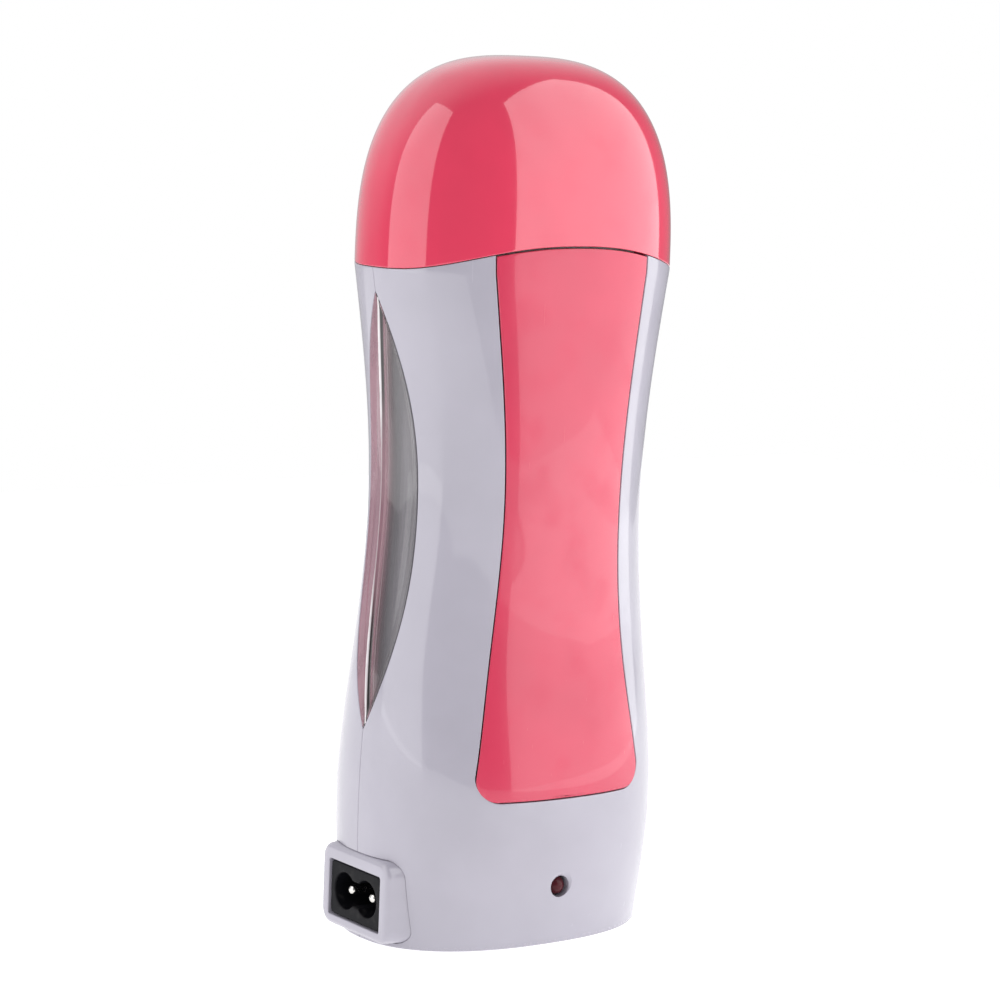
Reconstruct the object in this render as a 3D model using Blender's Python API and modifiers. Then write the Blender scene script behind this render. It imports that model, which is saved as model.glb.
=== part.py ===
"""Roll-on wax heater: a hand-held heated well for a wax cartridge, with a lift-off dome cap.

Frame: origin at the centre of the base, +Z up the body, -Y the front with the grip panel
and the lamp, -X the side that carries the mains inlet. Lengths are in metres.
"""
import math

import bmesh
import bpy
import numpy as np
from mathutils import Matrix, Vector

MM = 0.001

# ---------------------------------------------------------------- driving dimensions
HEIGHT = 200.0 * MM
SEAM_SIDE_Z = 152.5 * MM          # where the cap meets the body at the two sides
SEAM_ARCH = 6.0 * MM              # how much higher that seam is at the front and the back
SEAM_POWER = 3.5                  # how late the seam starts to rise

# the hourglass body: half widths and half depths at five levels
BODY_LEVELS = np.array([0.0, 30.0, 62.0, 100.0, 152.5]) * MM
BODY_HALF_WIDTHS = np.array([36.1, 37.5, 35.8, 32.4, 38.5]) * MM
BODY_HALF_DEPTHS = np.array([24.5, 29.0, 25.2, 24.4, 25.1]) * MM
SECTION_POWER = 2.36              # superellipse power of every cross-section
DOME_POWER = 2.78                 # how squarely the cap closes at the top

WALL = 2.8 * MM
CAP_WALL = 2.4 * MM
BASE_EDGE = 1.0 * MM              # chamfer round the base
GAP = 0.3 * MM                    # between pieces that touch or fit
SEAM_GAP = 0.4 * MM               # visible line under the cap

# grip panel, let into the front shell
PANEL_BOTTOM_Z = 35.0 * MM
PANEL_LEVELS = np.array([35.0, 62.0, 98.0, 152.5]) * MM
PANEL_HALF_WIDTHS = np.array([23.3, 19.0, 15.9, 20.8]) * MM
PANEL_CORNER = 5.5 * MM
PANEL_THICK = 1.2 * MM

# windows on the two sides
WINDOW_CENTRE_Z = 97.8 * MM
WINDOW_HALF_HEIGHT = 49.2 * MM
WINDOW_HALF_WIDTH = 9.4 * MM
WINDOW_POWER = 2.8
WINDOW_THICK = 2.2 * MM

# neck that the cap slides over, and the heated well hung in it
NECK_BOTTOM_Z = 146.0 * MM
NECK_TOP_Z = 165.0 * MM
NECK_WALL = 1.8 * MM
NECK_SHELF_Z = 150.0 * MM
NECK_SHELF_THICK = 2.0 * MM
WELL_HALF_WIDTH = 25.8 * MM       # inside
WELL_HALF_DEPTH = 16.0 * MM       # inside
WELL_CORNER = 12.5 * MM           # inside
WELL_WALL = 1.2 * MM
WELL_LIP = 1.0 * MM
WELL_BOTTOM_Z = 48.8 * MM
WELL_SLOT_WIDTH = 10.0 * MM
WELL_SLOT_LOW_Z = 62.0 * MM
WELL_SLOT_HIGH_Z = 136.0 * MM

# heaters, heat shield and what hangs under it
HEATER_WIDTH = 20.0 * MM
HEATER_THICK = 2.2 * MM
HEATER_LOW_Z = 66.0 * MM
HEATER_HIGH_Z = 134.0 * MM
SHIELD_THICK = 2.0 * MM
WIRE_HOLE_X = 8.0 * MM
WIRE_HOLE_RADIUS = 2.1 * MM
WIRE_HOLE_CLEAR = 3.2 * MM         # hole's centre from the well's side
THERMOSTAT_RADIUS = 8.0 * MM
THERMOSTAT_HEIGHT = 6.0 * MM
FUSE_RADIUS = 1.8 * MM
FUSE_LENGTH = 11.0 * MM
FUSE_Z = 57.0 * MM

# mains inlet on the -X side
COLLAR_FACE_X = -38.0 * MM
COLLAR_ROOT_X = -30.0 * MM
COLLAR_FACE_HALF_WIDTH = 13.3 * MM
COLLAR_ROOT_HALF_WIDTH = 14.9 * MM
COLLAR_LOW_Z = 1.0 * MM
COLLAR_HIGH_Z = 20.4 * MM
COLLAR_FACE_SLOPE = 0.3 * MM      # how far top and bottom draw in towards the face
COLLAR_CORNER = 3.6 * MM
COLLAR_EDGE = 1.3 * MM
SOCKET_HALF_WIDTH = 10.2 * MM
SOCKET_HALF_HEIGHT = 6.2 * MM
SOCKET_Z = 10.1 * MM
SOCKET_DEPTH = 15.0 * MM
SOCKET_SETBACK = 0.5 * MM         # behind the collar's face
SOCKET_HOLE_CORNER = 0.6 * MM
RECESS_DEPTH = 10.5 * MM
RECESS_LOBE_RADIUS = 4.2 * MM
RECESS_WAIST_HALF = 2.9 * MM
PIN_PITCH = 8.6 * MM
PIN_RADIUS = 1.2 * MM
PIN_SETBACK = 1.2 * MM            # pin tips behind the socket's face
PIN_TAIL = 3.0 * MM

# pilot lamp and its board
LAMP_Z = 14.0 * MM
LAMP_HOLE_RADIUS = 2.5 * MM
LAMP_RADIUS = 2.1 * MM
LAMP_FLANGE_RADIUS = 2.6 * MM
LAMP_SETBACK = 1.4 * MM           # tip behind the front surface
BOARD_WIDTH = 16.0 * MM
BOARD_LOW_Z = 6.0 * MM
BOARD_HIGH_Z = 34.0 * MM
BOARD_THICK = 1.6 * MM
BOARD_FRONT_Y = -18.8 * MM
BOARD_POST_RADIUS = 2.0 * MM
BOARD_POST_X = 5.0 * MM
BOARD_POST_Z = 30.0 * MM
RESISTOR_RADIUS = 1.2 * MM
RESISTOR_LENGTH = 6.5 * MM
RESISTOR_Z = 24.0 * MM
DIODE_RADIUS = 1.3 * MM
DIODE_LENGTH = 5.0 * MM
DIODE_Z = 18.0 * MM

# case screws, driven in from the back
UPPER_SCREW_X = 22.0 * MM
UPPER_SCREW_Z = 41.5 * MM
LOWER_SCREW_X = 12.0 * MM
LOWER_SCREW_Z = 12.0 * MM
SCREW_RADIUS = 1.3 * MM
SCREW_LENGTH = 13.0 * MM
SCREW_HEAD_RADIUS = 2.5 * MM
SCREW_HEAD_HEIGHT = 1.8 * MM
SCREW_SEAT_Y = 8.0 * MM
FRONT_BOSS_RADIUS = 3.2 * MM
REAR_BOSS_RADIUS = 4.4 * MM

# tongue of the front shell's floor that laps under the joint with the rear shell
TONGUE_HALF_WIDTH = 14.0 * MM
TONGUE_REACH = 6.0 * MM

WIRE_RADIUS = 0.9 * MM

# cutters run this far past what they cut
PAST = 10.0 * MM

# facets
AROUND = 48                       # round a whole body section
BODY_ROWS = 17
CAP_ROWS = 10
ROUND_SIDES = 20
SMALL_SIDES = 12
WELL_SIDES = 40
MERGE_DISTANCE = 0.01 * MM

# turns that lay a turned piece's own axis along another one
UPRIGHT = (0.0, 0.0, 0.0)
ALONG_X = (0.0, math.pi / 2, 0.0)
ALONG_Y = (-math.pi / 2, 0.0, 0.0)
AGAINST_Y = (math.pi / 2, 0.0, 0.0)


# ---------------------------------------------------------------- scene and materials
def clear_scene():
    for thing in list(bpy.data.objects):
        bpy.data.objects.remove(thing, do_unlink=True)


def new_collection(name):
    collection = bpy.data.collections.new(name)
    bpy.context.scene.collection.children.link(collection)
    return collection


clear_scene()
PARTS = new_collection("roll_on_wax_heater")
CUTTERS = new_collection("cutters")


def plastic(name, colour, roughness=0.3, metallic=0.0, alpha=1.0):
    """A Principled material with the piece's own colour and finish."""
    material = bpy.data.materials.new(name)
    material.use_nodes = True
    shader = material.node_tree.nodes["Principled BSDF"]
    shader.inputs["Base Color"].default_value = (*colour, 1.0)
    shader.inputs["Roughness"].default_value = roughness
    shader.inputs["Metallic"].default_value = metallic
    shader.inputs["Alpha"].default_value = alpha
    return material


WHITE = (0.72, 0.70, 0.76)
PINK = (0.84, 0.12, 0.20)
SMOKE = (0.35, 0.30, 0.32)
BLACK = (0.01, 0.01, 0.012)
STEEL = (0.62, 0.62, 0.62)
ALUMINIUM = (0.75, 0.75, 0.76)
MICA = (0.55, 0.50, 0.40)
FILM_BROWN = (0.55, 0.30, 0.10)
BAKELITE = (0.04, 0.04, 0.04)
BOARD_GREEN = (0.05, 0.25, 0.10)
LAMP_RED = (0.22, 0.02, 0.03)
RESISTOR_TAN = (0.60, 0.50, 0.30)
LIVE_BROWN = (0.35, 0.12, 0.05)
HEATER_RED = (0.55, 0.05, 0.05)
NEUTRAL_BLUE = (0.05, 0.12, 0.45)


# ---------------------------------------------------------------- mesh helpers
def finish(name, bm, material, collection=PARTS, smooth_angle=35.0):
    """Turn a bmesh into an object: merge doubled points, point faces out, shade smooth."""
    bmesh.ops.remove_doubles(bm, verts=bm.verts, dist=1e-6)
    bmesh.ops.dissolve_degenerate(bm, edges=bm.edges, dist=1e-7)
    bmesh.ops.recalc_face_normals(bm, faces=bm.faces)
    mesh = bpy.data.meshes.new(name)
    bm.to_mesh(mesh)
    bm.free()
    thing = bpy.data.objects.new(name, mesh)
    collection.objects.link(thing)
    if material is not None:
        mesh.materials.append(material)
        mesh.shade_smooth()
        mesh.set_sharp_from_angle(angle=math.radians(smooth_angle))
    if collection is CUTTERS:
        thing.hide_render = True
        thing.display_type = "WIRE"
    return thing


def grid_faces(bm, points, wrap=False):
    """Skin a grid of points [row][column] with quads and return the grid of vertices."""
    verts = [[bm.verts.new(point) for point in row] for row in points]
    columns = len(verts[0])
    last = columns if wrap else columns - 1
    for low, high in zip(verts, verts[1:]):
        for j in range(last):
            k = (j + 1) % columns
            bm.faces.new((low[j], low[k], high[k], high[j]))
    return verts


def thick_patch(outer, inner):
    """A closed solid between two matching grids: both skins and the walls round their border."""
    bm = bmesh.new()
    out = grid_faces(bm, outer)
    inn = grid_faces(bm, inner)
    rows, columns = len(out), len(out[0])
    border = [(0, j) for j in range(columns)]
    border += [(i, columns - 1) for i in range(1, rows)]
    border += [(rows - 1, j) for j in range(columns - 2, -1, -1)]
    border += [(i, 0) for i in range(rows - 2, 0, -1)]
    for (i, j), (k, m) in zip(border, border[1:] + border[:1]):
        bm.faces.new((out[i][j], out[k][m], inn[k][m], inn[i][j]))
    return bm


def loft(rings, close_loop=False):
    """A solid through rings of equal length: capped at both ends, or closed into a loop."""
    bm = bmesh.new()
    skin = list(rings) + ([rings[0]] if close_loop else [])
    verts = grid_faces(bm, skin, wrap=True)
    if not close_loop:
        bm.faces.new(verts[0])
        bm.faces.new(verts[-1])
    return bm


def box(low, high):
    bm = bmesh.new()
    made = bmesh.ops.create_cube(bm, size=1.0)
    low, high = Vector(low), Vector(high)
    bmesh.ops.scale(bm, vec=high - low, verts=made["verts"])
    bmesh.ops.translate(bm, vec=(low + high) / 2, verts=made["verts"])
    return bm


def rod(start, end, radius, sides=ROUND_SIDES):
    """A cylinder from start to end, turned half a facet so that no edge lies on a middle plane."""
    bm = bmesh.new()
    start, end = Vector(start), Vector(end)
    made = bmesh.ops.create_cone(bm, cap_ends=True, segments=sides, radius1=radius,
                                 radius2=radius, depth=(end - start).length)
    half_facet = Matrix.Rotation(math.pi / sides, 3, "Z")
    turn = Vector((0, 0, 1)).rotation_difference(end - start).to_matrix()
    bmesh.ops.rotate(bm, cent=(0, 0, 0), matrix=turn @ half_facet, verts=made["verts"])
    bmesh.ops.translate(bm, vec=(start + end) / 2, verts=made["verts"])
    return bm


def turned(name, profile, foot, tilt, material, sides=ROUND_SIDES):
    """A turned piece: (height, radius) pairs from its foot up, spun about its own axis and then placed."""
    outline = [(profile[-1][0], 0.0)] + profile[::-1] + [(profile[0][0], 0.0)]
    points = [(radius, 0.0, height) for height, radius in outline]
    edges = [(i, i + 1) for i in range(len(points) - 1)]
    mesh = bpy.data.meshes.new(name)
    mesh.from_pydata(points, edges, [])
    mesh.materials.append(material)
    thing = bpy.data.objects.new(name, mesh)
    PARTS.objects.link(thing)
    spin = thing.modifiers.new("spin", "SCREW")
    spin.axis = "Z"
    spin.steps = sides
    spin.render_steps = sides
    spin.use_merge_vertices = True
    spin.merge_threshold = MERGE_DISTANCE
    thing.location = foot
    thing.rotation_euler = tilt
    return thing


def boolean(target, tool, operation):
    modifier = target.modifiers.new(f"{operation.lower()} {tool.name}", "BOOLEAN")
    modifier.operation = operation
    modifier.solver = "EXACT"
    modifier.object = tool


def cut(target, name, bm):
    """Take the shape bm away from target."""
    boolean(target, finish(name, bm, None, CUTTERS), "DIFFERENCE")


def add(target, name, bm, inside=None):
    """Join the shape bm to target, first trimmed to what lies inside another solid."""
    piece = finish(name, bm, None, CUTTERS)
    if inside is not None:
        boolean(piece, inside, "INTERSECT")
    boolean(target, piece, "UNION")


# ---------------------------------------------------------------- the body's form
def natural_spline(knots, values):
    """The natural cubic spline through the knots, as a function of position."""
    gaps = np.diff(knots)
    slopes = np.diff(values) / gaps
    count = len(knots)
    system = np.eye(count)
    right = np.zeros(count)
    for i in range(1, count - 1):
        system[i, i - 1:i + 2] = (gaps[i - 1], 2 * (gaps[i - 1] + gaps[i]), gaps[i])
        right[i] = 6 * (slopes[i] - slopes[i - 1])
    bend = np.linalg.solve(system, right)

    def value(at):
        at = np.asarray(at, dtype=float)
        i = np.clip(np.searchsorted(knots, at) - 1, 0, count - 2)
        ahead, behind, gap = knots[i + 1] - at, at - knots[i], gaps[i]
        curve = (bend[i] * ahead ** 3 + bend[i + 1] * behind ** 3) / (6 * gap)
        line = (values[i] / gap - bend[i] * gap / 6) * ahead
        line = line + (values[i + 1] / gap - bend[i + 1] * gap / 6) * behind
        return curve + line

    return value


width_spline = natural_spline(BODY_LEVELS, BODY_HALF_WIDTHS)
depth_spline = natural_spline(BODY_LEVELS, BODY_HALF_DEPTHS)
panel_spline = natural_spline(PANEL_LEVELS, PANEL_HALF_WIDTHS)


def half_sizes(z, inset=0.0):
    """Half width and half depth at height z of the surface that lies inset inside the body."""
    z = np.asarray(z, dtype=float)
    level = np.clip(z, 0.0, SEAM_SIDE_Z)
    top = HEIGHT - inset
    rise = np.clip((z - SEAM_SIDE_Z) / (top - SEAM_SIDE_Z), 0.0, 1.0)
    dome = (1 - rise ** DOME_POWER) ** (1 / DOME_POWER)
    return (width_spline(level) - inset) * dome, (depth_spline(level) - inset) * dome


def superellipse(turn, half_width, half_depth):
    """x and y at the parameter angle turn: signed powers of cosine and sine."""
    cosine, sine = np.cos(turn), np.sin(turn)
    x = half_width * np.sign(cosine) * np.abs(cosine) ** (2 / SECTION_POWER)
    y = half_depth * np.sign(sine) * np.abs(sine) ** (2 / SECTION_POWER)
    return x, y


def section(turn, z, inset=0.0):
    half_width, half_depth = half_sizes(z, inset)
    x, y = superellipse(turn, half_width, half_depth)
    return np.stack(np.broadcast_arrays(x, y, z), axis=-1)


def depth_at(x, z, inset=0.0):
    """How far the surface stands from the middle plane y = 0 at a given x and height."""
    half_width, half_depth = half_sizes(z, inset)
    share = np.clip(np.abs(x) / half_width, 0.0, 1.0)
    return half_depth * (1 - share ** SECTION_POWER) ** (1 / SECTION_POWER)


def width_at(y, z, inset=0.0):
    """How far the surface stands from the middle plane x = 0 at a given y and height."""
    half_width, half_depth = half_sizes(z, inset)
    share = np.clip(np.abs(y) / half_depth, 0.0, 1.0)
    return half_width * (1 - share ** SECTION_POWER) ** (1 / SECTION_POWER)


def seam_height(y):
    """Height of the line between body and cap: it rises towards the front and the back."""
    half_depth = depth_spline(SEAM_SIDE_Z)
    share = np.clip(np.abs(y) / half_depth, 0.0, 1.0)
    return SEAM_SIDE_Z + SEAM_ARCH * share ** SEAM_POWER


def seam_by_turn(turn):
    y = superellipse(turn, 1.0, depth_spline(SEAM_SIDE_Z))[1]
    return seam_height(y)


# ---------------------------------------------------------------- shells
def shell_skin(turn, inset, floor_z):
    """Rows of one half shell's skin: floor centre, base edge, then up the wall to the seam."""
    centre = np.zeros((len(turn), 3))
    centre[:, 2] = floor_z
    edge = section(turn, np.full_like(turn, floor_z), inset + BASE_EDGE)
    low = floor_z + BASE_EDGE
    top = seam_by_turn(turn) - SEAM_GAP / 2
    share = np.linspace(0, 1, BODY_ROWS)[:, None]
    wall = section(turn[None, :], low + (top - low)[None, :] * share, inset)
    return np.concatenate([centre[None], edge[None], wall])


def half_shell(name, side):
    """One half of the body, side -1 for the front and +1 for the rear, shy of y = 0 by half a gap."""
    turn = np.linspace(0, math.pi, AROUND // 2 + 1) * side
    outer = shell_skin(turn, 0.0, 0.0)
    inner = shell_skin(turn, WALL, WALL)
    for skin in (outer, inner):
        skin[..., 1] = side * np.maximum(skin[..., 1] * side, GAP / 2)
    return finish(name, thick_patch(outer, inner), plastic(f"{name} white", WHITE, 0.28))


def core_solid():
    """The body's form drawn in to the middle of the wall, which trims bosses and posts."""
    turn = np.linspace(0, 2 * math.pi, AROUND, endpoint=False)
    levels = np.linspace(WALL / 2, SEAM_SIDE_Z - WALL, BODY_ROWS)
    return finish("core", loft([section(turn, z, WALL / 2) for z in levels]), None, CUTTERS)


def collar_ring(x, grow=0.0):
    """The inlet collar's outline at x: a rounded rectangle that widens towards its root."""
    share = (x - COLLAR_FACE_X) / (COLLAR_ROOT_X - COLLAR_FACE_X)
    half_width = COLLAR_FACE_HALF_WIDTH + (COLLAR_ROOT_HALF_WIDTH - COLLAR_FACE_HALF_WIDTH) * share
    half_height = (COLLAR_HIGH_Z - COLLAR_LOW_Z) / 2 - COLLAR_FACE_SLOPE * (1 - share)
    outline = rounded_rectangle(half_width + grow, half_height + grow, COLLAR_CORNER + grow)
    return place_on_side(x, outline, (COLLAR_HIGH_Z + COLLAR_LOW_Z) / 2)


def rounded_rectangle(half_width, half_height, radius, steps=4):
    """Points round a rectangle whose corners are arcs of the given radius."""
    quarter = np.linspace(0, math.pi / 2, steps + 1)
    points = []
    for corner, (sign_u, sign_v) in enumerate(((1, 1), (-1, 1), (-1, -1), (1, -1))):
        turn = quarter + corner * math.pi / 2
        u = sign_u * (half_width - radius) + radius * np.cos(turn)
        v = sign_v * (half_height - radius) + radius * np.sin(turn)
        points.extend(zip(u, v))
    return np.array(points)


def place_on_side(x, outline, z):
    """Stand a flat outline upright in the plane at x, centred at height z."""
    return np.column_stack([np.full(len(outline), x), outline[:, 0], outline[:, 1] + z])


def place_level(z, outline):
    return np.column_stack([outline[:, 0], outline[:, 1], np.full(len(outline), z)])


def window_half_width(z, grow=0.0):
    """The window's outline: widest at its middle and pointed at both ends."""
    share = np.clip(np.abs(z - WINDOW_CENTRE_Z) / (WINDOW_HALF_HEIGHT + grow), 0.0, 1.0)
    return (WINDOW_HALF_WIDTH + grow) * (1 - share ** WINDOW_POWER)


def window_levels(grow=0.0, rows=15):
    """Heights up the window, closer together near the points, stopping just short of them."""
    reach = (WINDOW_HALF_HEIGHT + grow) * 0.99
    return WINDOW_CENTRE_Z + reach * np.sin(np.linspace(-math.pi / 2, math.pi / 2, rows))


def window_opening(side):
    """A block with the window's outline, standing out through one side wall."""
    levels = window_levels(GAP)
    half = window_half_width(levels, GAP)
    outline = np.concatenate([np.column_stack([half, levels]), np.column_stack([-half, levels])[::-1]])
    near = (min(BODY_HALF_WIDTHS) - WALL) * 0.8
    rings = [place_on_side(side * x, outline, 0.0) for x in (near, max(BODY_HALF_WIDTHS) + PAST)]
    return loft(rings)


def panel_half_width(z, grow=0.0):
    """The grip panel's outline, with round corners at its lower end."""
    above = np.clip(z - (PANEL_BOTTOM_Z - grow), 0.0, None)
    radius = PANEL_CORNER + grow
    short = radius - np.clip(above, 0.0, radius)
    return panel_spline(z) + grow - radius + np.sqrt(radius ** 2 - short ** 2)


def panel_skin(inset, grow, top_past):
    """One skin of the panel: rows up the front, columns from edge to edge."""
    bottom = PANEL_BOTTOM_Z - grow
    radius = PANEL_CORNER + grow
    corner = bottom + radius * (1 - np.cos(np.linspace(0, math.pi / 2, 5)))
    straight = np.linspace(bottom + radius, SEAM_SIDE_Z, 13)[1:]
    levels = np.concatenate([corner, straight])
    across = np.linspace(-1, 1, 11)
    x = panel_half_width(levels, grow)[:, None] * across[None, :]
    z = np.repeat(levels[:, None], len(across), axis=1)
    last_y = depth_at(x[-1], z[-1])
    z[-1] = seam_height(last_y) - SEAM_GAP / 2
    skin = np.stack([x, -depth_at(x, z, inset), z], axis=-1)
    if top_past:
        skin = np.concatenate([skin, skin[-1:] + (0.0, 0.0, top_past)])
    return skin


SCREW_PLACES = [(side * x, z) for x, z in ((UPPER_SCREW_X, UPPER_SCREW_Z), (LOWER_SCREW_X, LOWER_SCREW_Z))
                for side in (-1, 1)]

core = core_solid()
front_shell = half_shell("front_shell", -1)
rear_shell = half_shell("rear_shell", +1)

# screw bosses stand in each half and meet at the joint
for number, (x, z) in enumerate(SCREW_PLACES, start=1):
    joint = GAP / 2
    far = max(BODY_HALF_DEPTHS)
    add(front_shell, f"front_boss_{number}", rod((x, -joint, z), (x, -far, z), FRONT_BOSS_RADIUS), core)
    add(rear_shell, f"rear_boss_{number}", rod((x, joint, z), (x, far, z), REAR_BOSS_RADIUS), core)

# posts that stop the board from moving forward
for side in (-1, 1):
    start = (side * BOARD_POST_X, BOARD_FRONT_Y - GAP, BOARD_POST_Z)
    end = (side * BOARD_POST_X, -max(BODY_HALF_DEPTHS), BOARD_POST_Z)
    add(front_shell, f"board_post_{side}", rod(start, end, BOARD_POST_RADIUS, SMALL_SIDES), core)

# the floor's tongue on the front shell and its notch in the rear shell
tongue_low = (-TONGUE_HALF_WIDTH, -TONGUE_REACH, 0.0)
tongue_high = (TONGUE_HALF_WIDTH, TONGUE_REACH, WALL)
notch_low = (-TONGUE_HALF_WIDTH - GAP, -TONGUE_REACH, -PAST)
notch_high = (TONGUE_HALF_WIDTH + GAP, TONGUE_REACH + GAP, WALL + GAP)
add(front_shell, "floor_tongue", box(tongue_low, tongue_high))
cut(rear_shell, "floor_notch", box(notch_low, notch_high))

for number, (x, z) in enumerate(SCREW_PLACES, start=1):
    hole = SCREW_RADIUS + GAP
    tip_y = SCREW_SEAT_Y + GAP - SCREW_LENGTH - GAP
    cut(front_shell, f"pilot_hole_{number}", rod((x, PAST, z), (x, tip_y, z), hole, SMALL_SIDES))
    through = rod((x, -PAST, z), (x, SCREW_SEAT_Y + PAST, z), hole, SMALL_SIDES)
    cut(rear_shell, f"screw_hole_{number}", through)
    head = SCREW_HEAD_RADIUS + GAP
    outside = max(BODY_HALF_DEPTHS) + PAST
    cut(rear_shell, f"head_bore_{number}", rod((x, SCREW_SEAT_Y, z), (x, outside, z), head))

for shell in (front_shell, rear_shell):
    for side in (-1, 1):
        cut(shell, f"window_opening_{side}_{shell.name}", window_opening(side))
    rings = [collar_ring(x, GAP) for x in (COLLAR_FACE_X - PAST, COLLAR_ROOT_X + PAST)]
    cut(shell, f"collar_opening_{shell.name}", loft(rings))

pocket = thick_patch(panel_skin(-PAST, GAP, PAST), panel_skin(PANEL_THICK + GAP, GAP, PAST))
cut(front_shell, "panel_pocket", pocket)
lamp_hole = rod((0, -PAST, LAMP_Z), (0, -max(BODY_HALF_DEPTHS) - PAST, LAMP_Z), LAMP_HOLE_RADIUS)
cut(front_shell, "lamp_hole", lamp_hole)

# ---------------------------------------------------------------- grip panel and windows
panel = thick_patch(panel_skin(0.0, 0.0, 0.0), panel_skin(PANEL_THICK, 0.0, 0.0))
finish("grip_panel", panel, plastic("grip panel pink", PINK, 0.25))


def window(name, side):
    """A lens that follows the side wall, thin and pointed at both ends."""
    levels = window_levels()
    across = np.linspace(-1, 1, 7)
    y = window_half_width(levels)[:, None] * across[None, :]
    z = np.repeat(levels[:, None], len(across), axis=1)
    outer = np.stack([side * width_at(y, z), y, z], axis=-1)
    inner = np.stack([side * width_at(y, z, WINDOW_THICK), y, z], axis=-1)
    return finish(name, thick_patch(outer, inner), plastic(f"{name} smoke", SMOKE, 0.1, alpha=0.5))


window("left_window", -1)
window("right_window", +1)


# ---------------------------------------------------------------- cap
def cap_skin(inset):
    """Rings from the seam to the crown; the crown ring is a single point."""
    turn = np.linspace(0, 2 * math.pi, AROUND, endpoint=False)
    low = seam_by_turn(turn) + SEAM_GAP / 2
    share = np.sin(np.linspace(0, math.pi / 2, CAP_ROWS))
    top = HEIGHT - inset
    return [section(turn, low + (top - low) * step, inset) for step in share]


cap_rings = cap_skin(0.0)[::-1] + cap_skin(CAP_WALL)
finish("cap", loft(cap_rings), plastic("cap pink", PINK, 0.2))


# ---------------------------------------------------------------- neck, well and shield
def tight_ring(low_z, high_z, inset, z, turn):
    """A straight-sided ring that clears the inside of the body all the way from low_z to high_z."""
    levels = np.linspace(low_z, high_z, 9)
    half_widths, half_depths = half_sizes(levels, inset)
    x, y = superellipse(turn, min(half_widths), min(half_depths))
    return np.column_stack([x, y, np.full(len(turn), z)])


def outline_reach(half_width, half_depth, corner, turn):
    """How far a rounded rectangle reaches from its centre in the directions turn."""
    outline = rounded_rectangle(half_width, half_depth, corner, steps=12)
    corners = np.arange(len(outline) + 1)
    finer = np.linspace(0, len(outline), 20 * len(outline) + 1)
    x = np.interp(finer, corners, np.append(outline[:, 0], outline[0, 0]))
    y = np.interp(finer, corners, np.append(outline[:, 1], outline[0, 1]))
    angles = np.unwrap(np.arctan2(y, x))
    wanted = np.mod(turn - angles[0], 2 * math.pi) + angles[0]
    return np.interp(wanted, angles, np.hypot(x, y))


WELL_OUT_WIDTH = WELL_HALF_WIDTH + WELL_WALL
WELL_OUT_DEPTH = WELL_HALF_DEPTH + WELL_WALL
SHELF_TOP_Z = NECK_SHELF_Z + NECK_SHELF_THICK
WELL_TOP_Z = SHELF_TOP_Z + GAP + WELL_WALL
LIP_Z = SHELF_TOP_Z + GAP


def well_reach(grow, turn):
    """The reach of the well's outline, grown outwards from its inside face."""
    return outline_reach(WELL_HALF_WIDTH + grow, WELL_HALF_DEPTH + grow, WELL_CORNER + grow, turn)


def well_ring(grow, z):
    turn = np.linspace(0, 2 * math.pi, WELL_SIDES, endpoint=False)
    reach = well_reach(grow, turn)
    return np.column_stack([reach * np.cos(turn), reach * np.sin(turn), np.full(WELL_SIDES, z)])


def clear_of_lip(ring):
    """The ring, let out wherever it would come nearer to the well's lip than the gap."""
    reach = np.hypot(ring[:, 0], ring[:, 1])
    least = well_reach(WELL_WALL + WELL_LIP + GAP, np.arctan2(ring[:, 1], ring[:, 0]))
    ring[:, :2] *= (np.maximum(reach, least) / reach)[:, None]
    return ring


def neck_ring():
    turn = np.linspace(0, 2 * math.pi, WELL_SIDES, endpoint=False)
    outer_inset = WALL + GAP
    inner_inset = outer_inset + NECK_WALL

    def wall_ring(inset, z):
        return tight_ring(NECK_BOTTOM_Z, SEAM_SIDE_Z, inset, z, turn)

    def inside_ring(z):
        return clear_of_lip(wall_ring(inner_inset, z))

    rings = [
        wall_ring(outer_inset, NECK_BOTTOM_Z),
        wall_ring(outer_inset, NECK_TOP_Z - NECK_WALL / 2),
        wall_ring(outer_inset + NECK_WALL / 2, NECK_TOP_Z),
        inside_ring(NECK_TOP_Z),
        inside_ring(SHELF_TOP_Z),
        well_ring(WELL_WALL + GAP, SHELF_TOP_Z),
        well_ring(WELL_WALL + GAP, NECK_SHELF_Z),
        inside_ring(NECK_SHELF_Z),
        inside_ring(NECK_BOTTOM_Z),
    ]
    return finish("neck_ring", loft(rings, close_loop=True), plastic("neck ring white", WHITE, 0.35))


def cartridge_well():
    """A drawn aluminium cup with a turned-out lip and a sight slot in each end."""
    rings = [
        well_ring(WELL_WALL, WELL_BOTTOM_Z),
        well_ring(WELL_WALL, LIP_Z),
        well_ring(WELL_WALL + WELL_LIP, LIP_Z),
        well_ring(WELL_WALL + WELL_LIP, WELL_TOP_Z),
        well_ring(0.0, WELL_TOP_Z),
        well_ring(0.0, WELL_BOTTOM_Z + WELL_WALL),
    ]
    well = finish("cartridge_well", loft(rings), plastic("well aluminium", ALUMINIUM, 0.35, 1.0))
    half_height = (WELL_SLOT_HIGH_Z - WELL_SLOT_LOW_Z) / 2
    outline = rounded_rectangle(WELL_SLOT_WIDTH / 2, half_height, WELL_SLOT_WIDTH / 2 - GAP, steps=4)
    middle = (WELL_SLOT_HIGH_Z + WELL_SLOT_LOW_Z) / 2
    reach = WELL_OUT_WIDTH + PAST
    cut(well, "sight_slot", loft([place_on_side(x, outline, middle) for x in (-reach, reach)]))
    return well


neck_ring()
cartridge_well()

SHIELD_TOP_Z = WELL_BOTTOM_Z - GAP
SHIELD_LOW_Z = SHIELD_TOP_Z - SHIELD_THICK
WIRE_HOLE_Y = WELL_OUT_DEPTH + WIRE_HOLE_CLEAR


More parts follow.
